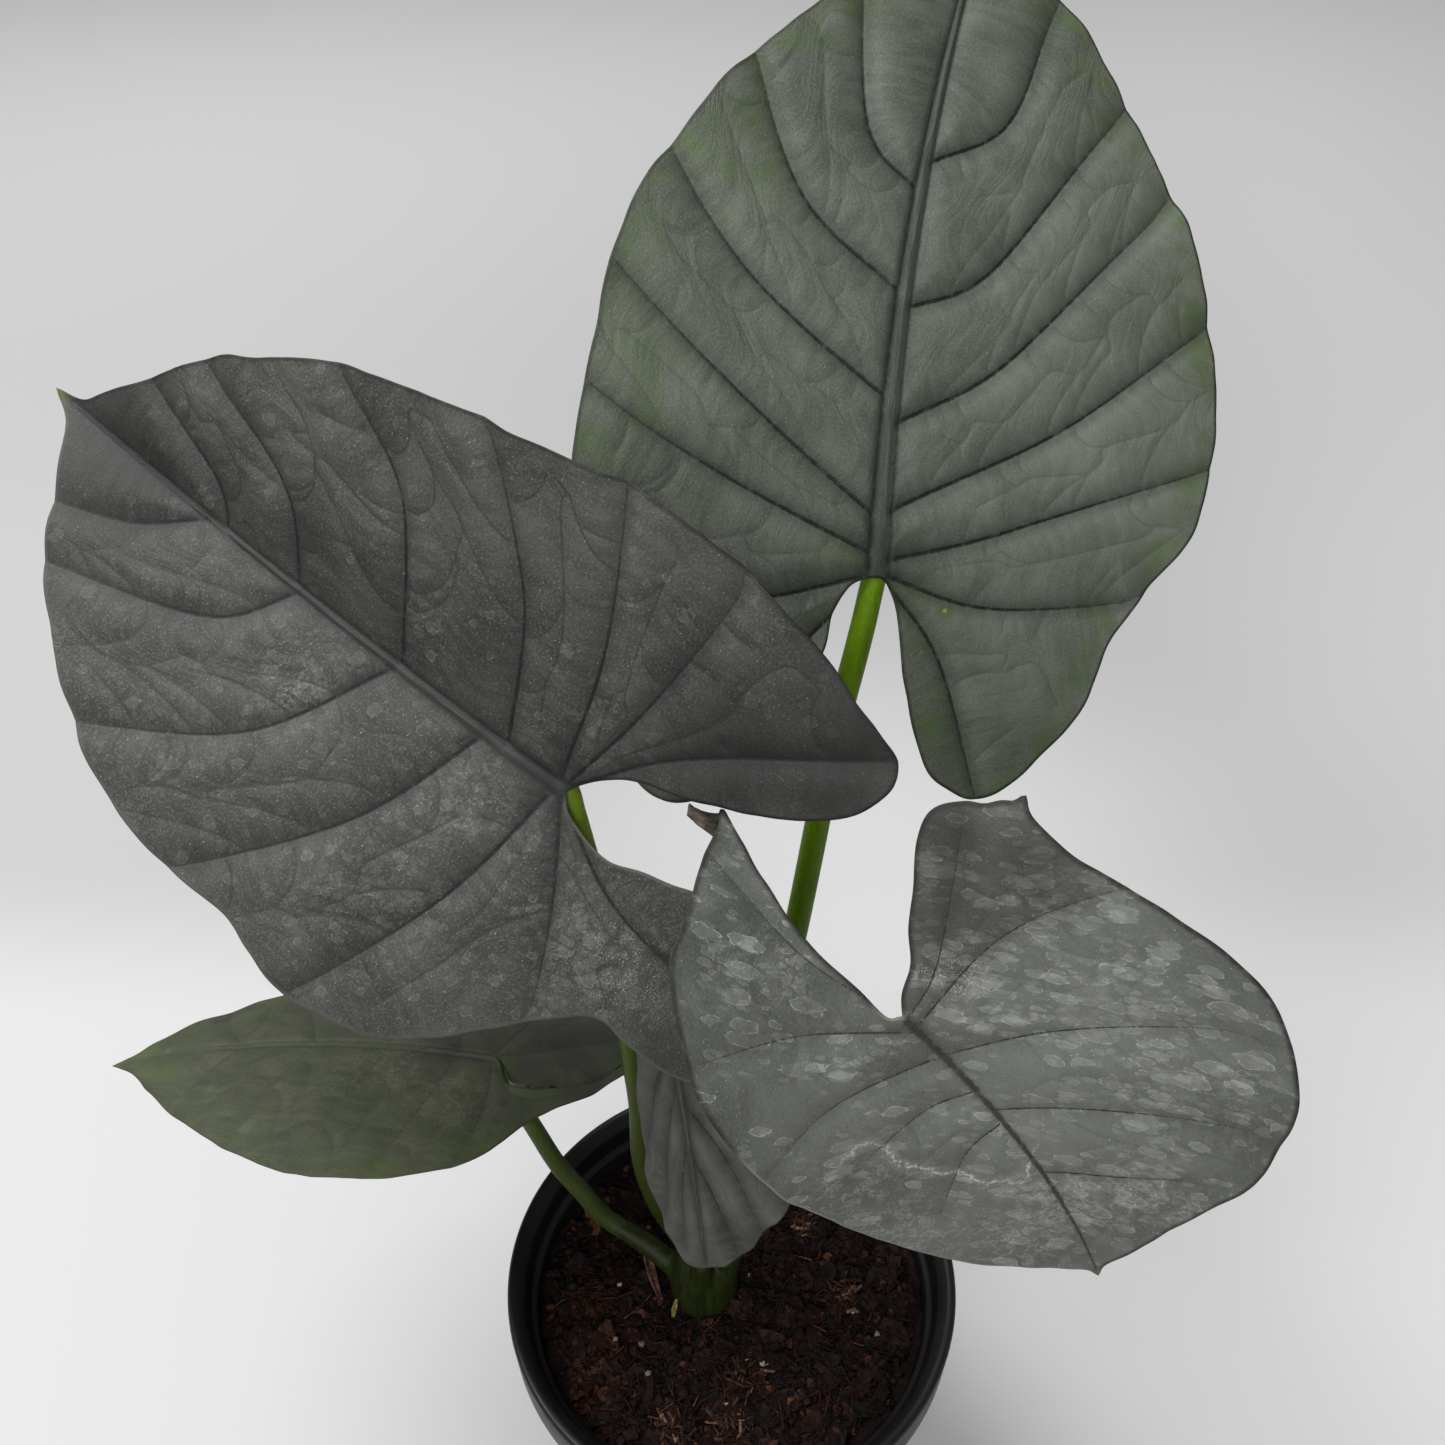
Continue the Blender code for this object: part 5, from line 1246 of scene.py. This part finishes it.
soil = dict(
    level=80, radius=47.0, lump=2.2, lumpSize=9.0, lumpSlope=2.2, swell=1.6, swellSize=22.0, crumb=0.5,
    crumbSize=2.6, crumbNoise=(0.7, 2.1, 4), rings=60, spokes=240, lip=77.8,
    wall=[(46.6, 77.0), (36.45, 3.15), (35.05, 1.9)],
    black=paint(8, 5, 5), brown=paint(26, 12, 11), rust=paint(50, 21, 15), tan=paint(74, 42, 26))
strewn = {
    "bark_chips": dict(
        drift=0.55, kinds=7, cuts=2, shape=(1.0, 0.62, 0.30), rough=0.24, taper=0.55, bow=0.10, smooth=False,
        density=12.0, sizes=(1.8, 6.0), tilt=0.60, lift=0.1, margin=4.0, seed=11, grainScale=700.0,
        dark=paint(9, 5, 4), mid=paint(34, 14, 12), pale=paint(96, 60, 38), paleFrom=0.94),
    "coir_fibres": dict(
        drift=0.9, kinds=5, cuts=1, shape=(1.0, 0.045, 0.04), rough=0.05, taper=0.5, bow=0.35, smooth=True,
        density=20.0, sizes=(2.0, 9.0), tilt=0.45, lift=0.9, margin=6.0, seed=23, grainScale=900.0,
        dark=paint(14, 7, 6), mid=paint(42, 20, 14), pale=paint(96, 62, 40), paleFrom=0.88),
    "fine_crumbs": dict(
        drift=0.7, kinds=5, cuts=1, shape=(1.0, 0.8, 0.6), rough=0.3, taper=0.2, bow=0.0, smooth=False,
        density=34.0, sizes=(0.8, 2.2), tilt=1.5, lift=0.5, margin=2.0, seed=31, grainScale=900.0,
        dark=paint(9, 5, 4), mid=paint(36, 15, 12), pale=paint(74, 42, 28), paleFrom=0.90),
    "husk_tufts": dict(
        near=((27.7, 0.6, 4.2), (3.8, -19.6, 4.4), (-0.5, -31.5, 4.8), (-13.5, -33.6, 4.4), (18.8, 19.0, 3.4)),
        drift=0.2, kinds=6, cuts=1, shape=(1.0, 0.13, 0.06), rough=0.09, taper=0.6, bow=0.30, smooth=True,
        density=75.0, sizes=(2.0, 6.5), tilt=0.55, lift=1.0, margin=5.0, seed=41, grainScale=900.0,
        dark=paint(34, 18, 12), mid=paint(78, 52, 38), pale=paint(122, 92, 69), paleFrom=0.75),
    "perlite": dict(
        drift=0.1, kinds=5, cuts=2, shape=(1.0, 0.85, 0.75), rough=0.22, taper=0.2, bow=0.0, smooth=True,
        density=0.13, sizes=(0.8, 1.6), tilt=1.5, lift=1.0, margin=4.0, seed=5, grainScale=1500.0,
        dark=paint(104, 100, 94), mid=paint(160, 157, 151), pale=paint(196, 194, 188), paleFrom=0.5),
}


def soilHeight(x, y):
    place = Vector((x, y, 0)) / soil["lumpSize"]
    cells = noise.voronoi(place)[0]
    chunk = min(1.0, (cells[1] - cells[0]) * soil["lumpSlope"])
    swell = noise.noise(Vector((x, y, 0)) / soil["swellSize"])
    crumb = noise.fractal(Vector((x, y, 5)) / soil["crumbSize"], *soil["crumbNoise"])
    return soil["level"] + soil["lump"] * (chunk - 0.5) + soil["swell"] * swell + soil["crumb"] * crumb


def makeSoil():
    rings, spokes = soil["rings"], soil["spokes"]
    neck = soil["radius"]
    places, faces = [(0, 0, soilHeight(0, 0))], []
    levels = [(neck * k / rings, None) for k in range(1, rings + 1)] + soil["wall"]
    for r, z in levels:
        for k in range(spokes):
            a = math.tau * k / spokes
            x, y = r * math.cos(a), r * math.sin(a)
            places.append((x, y, max(soilHeight(x, y), soil["lip"] if r == neck else 0) if z is None else z))
    for k in range(spokes):
        faces.append((0, 1 + k, 1 + (k + 1) % spokes))
    for j in range(len(levels) - 1):
        a, b = 1 + j * spokes, 1 + (j + 1) * spokes
        for k in range(spokes):
            faces.append((a + k, b + k, b + (k + 1) % spokes, a + (k + 1) % spokes))
    last = 1 + (len(levels) - 1) * spokes
    places.append((0, 0, soil["wall"][-1][1]))
    for k in range(spokes):
        faces.append((last + (k + 1) % spokes, last + k, len(places) - 1))
    item = addObject("soil_bed", meshFrom("soil_bed", np.array(places) * mm, faces), soilMaterial())
    finishPiece(item, "soil", "soil")
    print("soil faces", len(faces))


def soilMaterial():
    material, tree, shader = newMaterial("wetBarkMix")
    place = ownPlace(tree)
    clod = makeNoise(tree, place, 160.0, 5.0, 0.7)
    crumb = makeNoise(tree, place, 900.0, 4.0, 0.7)
    colour = mixColour(tree, ramp(tree, clod, 0.35, 0.65), soil["black"], soil["brown"])
    colour = mixColour(tree, ramp(tree, crumb, 0.50, 0.75, 0.0, 0.8), colour, soil["rust"])
    colour = mixColour(tree, times(tree, rustyDrift(tree, place), 0.35), colour, soil["rust"])
    shade(tree, shader, colour, ramp(tree, clod, 0.3, 0.7, 0.62, 0.9), 0.15, crumb, 0.0012, 1.0)
    return material


def scatterTree():
    # Pieces strewn on a surface: named sizes, a fixed seed and a random tone for each piece
    tree, given = newTree("strewn", Pieces="Collection", Density="Float", Smallest="Float", Largest="Float",
                          Tilt="Float", Lift="Float", Seed="Int")
    fallen = addNode(tree, "GeometryNodeDistributePointsOnFaces", {
        "Mesh": given["Geometry"], "Density": given["Density"], "Seed": given["Seed"]})
    raised = addNode(tree, "GeometryNodeSetPosition", {"Geometry": fallen.outputs["Points"]})
    upward = addNode(tree, "ShaderNodeCombineXYZ", {2: given["Lift"]})
    tree.links.new(upward.outputs[0], raised.inputs["Offset"])
    kinds = addNode(tree, "GeometryNodeCollectionInfo", {"Collection": given["Pieces"],
                                                         "Separate Children": True, "Reset Children": True})
    back = times(tree, given["Tilt"], -1.0)
    lowTurn = addNode(tree, "ShaderNodeCombineXYZ", {0: back, 1: back, 2: -math.pi}).outputs[0]
    highTurn = addNode(tree, "ShaderNodeCombineXYZ",
                       {0: given["Tilt"], 1: given["Tilt"], 2: math.pi}).outputs[0]
    turned = addNode(tree, "FunctionNodeRandomValue", {0: lowTurn, 1: highTurn, "Seed": given["Seed"]},
                     data_type="FLOAT_VECTOR")
    sized = addNode(tree, "FunctionNodeRandomValue", {2: given["Smallest"], 3: given["Largest"],
                                                      "Seed": given["Seed"]}, data_type="FLOAT")
    placed = addNode(tree, "GeometryNodeInstanceOnPoints", {
        "Points": raised.outputs[0], "Instance": kinds.outputs[0], "Pick Instance": True,
        "Rotation": turned.outputs[0], "Scale": sized.outputs[1]})
    tone = addNode(tree, "FunctionNodeRandomValue", {2: 0.0, 3: 1.0, "Seed": 77}, data_type="FLOAT")
    toned = addNode(tree, "GeometryNodeStoreNamedAttribute", {"Geometry": placed.outputs[0], "Name": "tone",
                                                              "Value": tone.outputs[1]},
                    data_type="FLOAT", domain="INSTANCE")
    return endTree(tree, toned.outputs[0], given["Finish"])


def chipKinds(kind, settings):
    # A few differently broken pieces, each about 1 across, kept out of the scene
    group = bpy.data.collections.new(kind)
    for k in range(settings["kinds"]):
        bm = bmesh.new()
        bmesh.ops.create_cube(bm, size=1.0)
        bmesh.ops.subdivide_edges(bm, edges=bm.edges[:], cuts=settings["cuts"], use_grid_fill=True)
        length, width, thick = settings["shape"]
        for vert in bm.verts:
            p = vert.co.copy()
            rough = noise.noise_vector(p * 1.7 + Vector((k * 3.1, len(kind), 0.4)))
            finer = noise.noise_vector(p * 4.3 + Vector((k * 5.7, 1.3, len(kind))))
            p += rough * settings["rough"] + finer * settings["rough"] * 0.4
            taper = 1 - settings["taper"] * abs(p.x) ** 1.5
            bow = settings["bow"] * (p.x * p.x - 0.1) * (1 if k % 2 else -0.6)
            vert.co = (p.x * length, p.y * width * taper + bow * 0.6, p.z * thick * taper + bow)
        mesh = meshOf(bm, kind)
        if settings["smooth"]:
            mesh.shade_smooth()
        group.objects.link(bpy.data.objects.new(f"{kind}{k}", mesh))
    return group


def chipMaterial(name, settings):
    material, tree, shader = newMaterial(name)
    place = ownPlace(tree)
    tone = readAttribute(tree, "tone")
    grain = makeNoise(tree, place, settings["grainScale"], 5.0, 0.7, 0.6)
    colour = mixColour(tree, ramp(tree, tone, 0.0, 1.0, smooth=False), settings["dark"], settings["mid"])
    colour = mixColour(tree, ramp(tree, tone, settings["paleFrom"], 1.0), colour, settings["pale"])
    drift = times(tree, rustyDrift(tree, place), ramp(tree, tone, 0.30, 0.85, 0.1, settings["drift"]))
    colour = mixColour(tree, drift, colour, soil["tan"])
    colour = mixColour(tree, ramp(tree, grain, 0.38, 0.66, 0.0, 0.75), colour, settings["dark"])
    shade(tree, shader, colour, ramp(tree, grain, 0.3, 0.7, 0.55, 0.85), 0.15, grain, 0.0004, 0.9)
    return material


def makeScatter():
    tree = scatterTree()
    for kind, settings in strewn.items():
        # The surface that the pieces lie on: the bed's top, short of the wall and the crown
        bm = bmesh.new()
        bmesh.ops.create_grid(bm, x_segments=60, y_segments=60, size=soil["radius"] * mm)
        for vert in bm.verts:
            vert.co.z = soilHeight(vert.co.x / mm, vert.co.y / mm) * mm
        off = []
        for face in bm.faces:
            spot = face.calc_center_median().xy / mm
            apart = "near" in settings and all((spot - Vector((x, y))).length > reach
                                               for x, y, reach in settings["near"])
            if (apart or spot.length > soil["radius"] - settings["margin"]
                    or (spot - Vector(crown["centre"])).length < crown["keepClear"]):
                off.append(face)
        bmesh.ops.delete(bm, geom=off, context="FACES")
        made = treeMesh(addObject("ground", meshOf(bm, "ground")), tree, {
            "Pieces": chipKinds(kind, settings), "Density": settings["density"] / (0.01 * 0.01),
            "Smallest": settings["sizes"][0] * mm, "Largest": settings["sizes"][1] * mm,
            "Tilt": settings["tilt"], "Lift": settings["lift"] * mm, "Seed": settings["seed"],
            "Finish": chipMaterial(kind, settings)})
        made.name = kind
        finishPiece(addObject(kind, made), "soil")
        print(kind, "faces", len(made.polygons))


# Pot: thin black plastic, turned, with the rim's skirt and the step inside it

pot = dict(
    outer=((51.6, 91.6), (52.2, 92), (53.4, 92), (54, 91.2), (53.6, 80), (52.5, 80), (52.7, 89.8),
           (50.8, 89.4), (50.0, 84), (48.4, 83), (48.0, 77), (38, 1.4), (36.6, 0), (0, 0)),
    inner=((0, 1.6), (35.5, 1.6), (36.9, 3.0), (46.9, 77), (47.3, 83.8), (48.9, 84.9), (49.7, 89.6),
           (51.6, 91.6)),
    fillet=0.5, steps=168, drains=6, drainRadius=4.0, drainCircle=27.0, drainSides=40, drainDepth=8,
    sharpFrom=32,
    black=paint(14, 13, 15), dusty=paint(25, 24, 24))


def makePot():
    bm = bmesh.new()
    steps = pot["steps"]
    rows = []
    for r, z in roundedProfile(pot["outer"] + pot["inner"], pot["fillet"]):
        if r < 1e-6:
            rows.append([bm.verts.new((0, 0, z * mm))])
        else:
            rows.append([bm.verts.new((r * math.cos(math.tau * k / steps) * mm,
                                       r * math.sin(math.tau * k / steps) * mm, z * mm))
                         for k in range(steps)])
    for a, b in zip(rows, rows[1:] + rows[:1]):
        for k in range(steps):
            n = (k + 1) % steps
            if len(a) == 1 and len(b) == 1:
                continue
            if len(a) == 1:
                bm.faces.new((a[0], b[n], b[k]))
            elif len(b) == 1:
                bm.faces.new((a[k], a[n], b[0]))
            else:
                bm.faces.new((a[k], a[n], b[n], b[k]))
    bmesh.ops.recalc_face_normals(bm, faces=bm.faces[:])
    item = addObject("pot_body", meshOf(bm, "pot_body"), potMaterial())
    bm = bmesh.new()
    for k in range(pot["drains"]):
        turn = math.tau * k / pot["drains"]
        reach = pot["drainRadius"] * mm
        ring = bmesh.ops.create_cone(bm, cap_ends=True, segments=pot["drainSides"], radius1=reach,
                                     radius2=reach, depth=pot["drainDepth"] * mm)
        bmesh.ops.translate(bm, verts=ring["verts"],
                            vec=Vector((math.cos(turn), math.sin(turn), 0)) * pot["drainCircle"] * mm)
    drains = addObject("drains", meshOf(bm, "drains"))
    cut = item.modifiers.new("drains", "BOOLEAN")
    cut.object = drains
    cut.solver = "EXACT"
    bakeModifiers(item)
    bpy.data.objects.remove(drains, do_unlink=True)
    item.data.shade_smooth()
    item.data.set_sharp_from_angle(angle=math.radians(pot["sharpFrom"]))
    finishPiece(item, "pot", "pot")
    print("pot faces", len(item.data.polygons))


def roundedProfile(points, fillet):
    # Each corner of the profile becomes a short three-point round
    out = [points[0]]
    for a, b, c in zip(points, points[1:], points[2:]):
        a, b, c = (np.array(p, float) for p in (a, b, c))
        into, onward = b - a, c - b
        if b[0] < 1e-6:
            out.append(tuple(b))
            continue
        cutIn = min(fillet, np.linalg.norm(into) * 0.4)
        cutOut = min(fillet, np.linalg.norm(onward) * 0.4)
        p, q = b - unit(into) * cutIn, b + unit(onward) * cutOut
        for t in (0.0, 0.33, 0.67, 1.0):
            out.append(tuple(p * (1 - t) ** 2 + b * 2 * t * (1 - t) + q * t * t))
    out.append(points[-1])
    return out


def potMaterial():
    material, tree, shader = newMaterial("blackPlastic")
    place = ownPlace(tree)
    parts = addNode(tree, "ShaderNodeSeparateXYZ", {0: place})
    peel = makeNoise(tree, place, 1400.0, 2.0)
    cloud = makeNoise(tree, place, 60.0, 4.0, 0.65)
    hoops = stretched(tree, place, (25, 25, 1600))
    drawn = makeNoise(tree, hoops, 1.0, 2.0)
    colour = mixColour(tree, ramp(tree, cloud, 0.45, 0.75, 0.0, 0.5), pot["black"], pot["dusty"])
    scuff = ramp(tree, makeNoise(tree, place, 420.0, 5.0, 0.7), 0.60, 0.72)
    low = ramp(tree, parts.outputs[2], 0.0, 0.03, 0.5, 0.0)
    colour = mixColour(tree, times(tree, scuff, low), colour, pot["dusty"])
    rough = ramp(tree, cloud, 0.3, 0.7, 0.38, 0.52)
    height = doMath(tree, "ADD", times(tree, peel, 0.4), drawn)
    shade(tree, shader, colour, rough, 0.28, height, 0.00006, 0.6)
    return material


# Floor: pale, a little greyer further back like a paper sweep as painted shade, with painted light in pools
# round the plant and towards the right

def makeFloor():
    bm = bmesh.new()
    bmesh.ops.create_grid(bm, x_segments=2, y_segments=2, size=studio["floorSize"] / 2 * mm)
    material, tree, shader = newMaterial("palePaper")
    place = ownPlace(tree)
    sideways, depth, _ = addNode(tree, "ShaderNodeSeparateXYZ", {0: place}).outputs
    # Painted shade: greyer further back
    tones = studio["floorTones"]
    colour = tuple([tones[0][1]] * 3) + (1.0,)
    for (fromY, _), (toY, tone) in zip(tones, tones[1:]):
        colour = mixColour(tree, ramp(tree, depth, fromY * mm, toY * mm), colour, (tone, tone, tone, 1.0))
    # Painted light: paler in pools where the plant and pot would cast their shadows
    for glowX, glowY, reach, share in studio["floorGlows"]:
        away = addNode(tree, "ShaderNodeVectorMath", {0: place, 1: (glowX * mm, glowY * mm, 0)},
                       operation="DISTANCE")
        glow = ramp(tree, away.outputs["Value"], 0.0, reach * mm, share, 0.0)
        colour = mixColour(tree, glow, colour, (1.0, 1.0, 1.0, 1.0))
    # Painted light: paler towards the right
    fromX, toX, share = studio["floorSide"]
    colour = mixColour(tree, ramp(tree, sideways, fromX * mm, toX * mm, 0.0, share), colour,
                       (1.0, 1.0, 1.0, 1.0))
    shade(tree, shader, colour, 0.85, 0.1)
    item = addObject("floor", meshOf(bm, "floor"), material)
    item.location.z = -studio["floorDrop"] * mm


def makeSky():
    world = bpy.data.worlds.new("studio")
    world.use_nodes = True
    back = world.node_tree.nodes["Background"]
    back.inputs[0].default_value = (*studio["sky"], 1)
    back.inputs[1].default_value = studio["skyStrength"]
    bpy.context.scene.world = world


makeCamera()
makeSky()
for lamp in studio["lamps"]:
    makeLamp(lamp)
makeFloor()
print("studio ready")
spotGroup = makeSpotGroup()
for key in leaves:
    makeBlade(key)
makePetioles()
makeCrown()
for kind, settings in scraps.items():
    makeScrap(kind, settings)
makeSoil()
makeScatter()
makePot()
bpy.context.scene.view_settings.view_transform = "Standard"
bpy.context.scene.view_settings.look = "None"
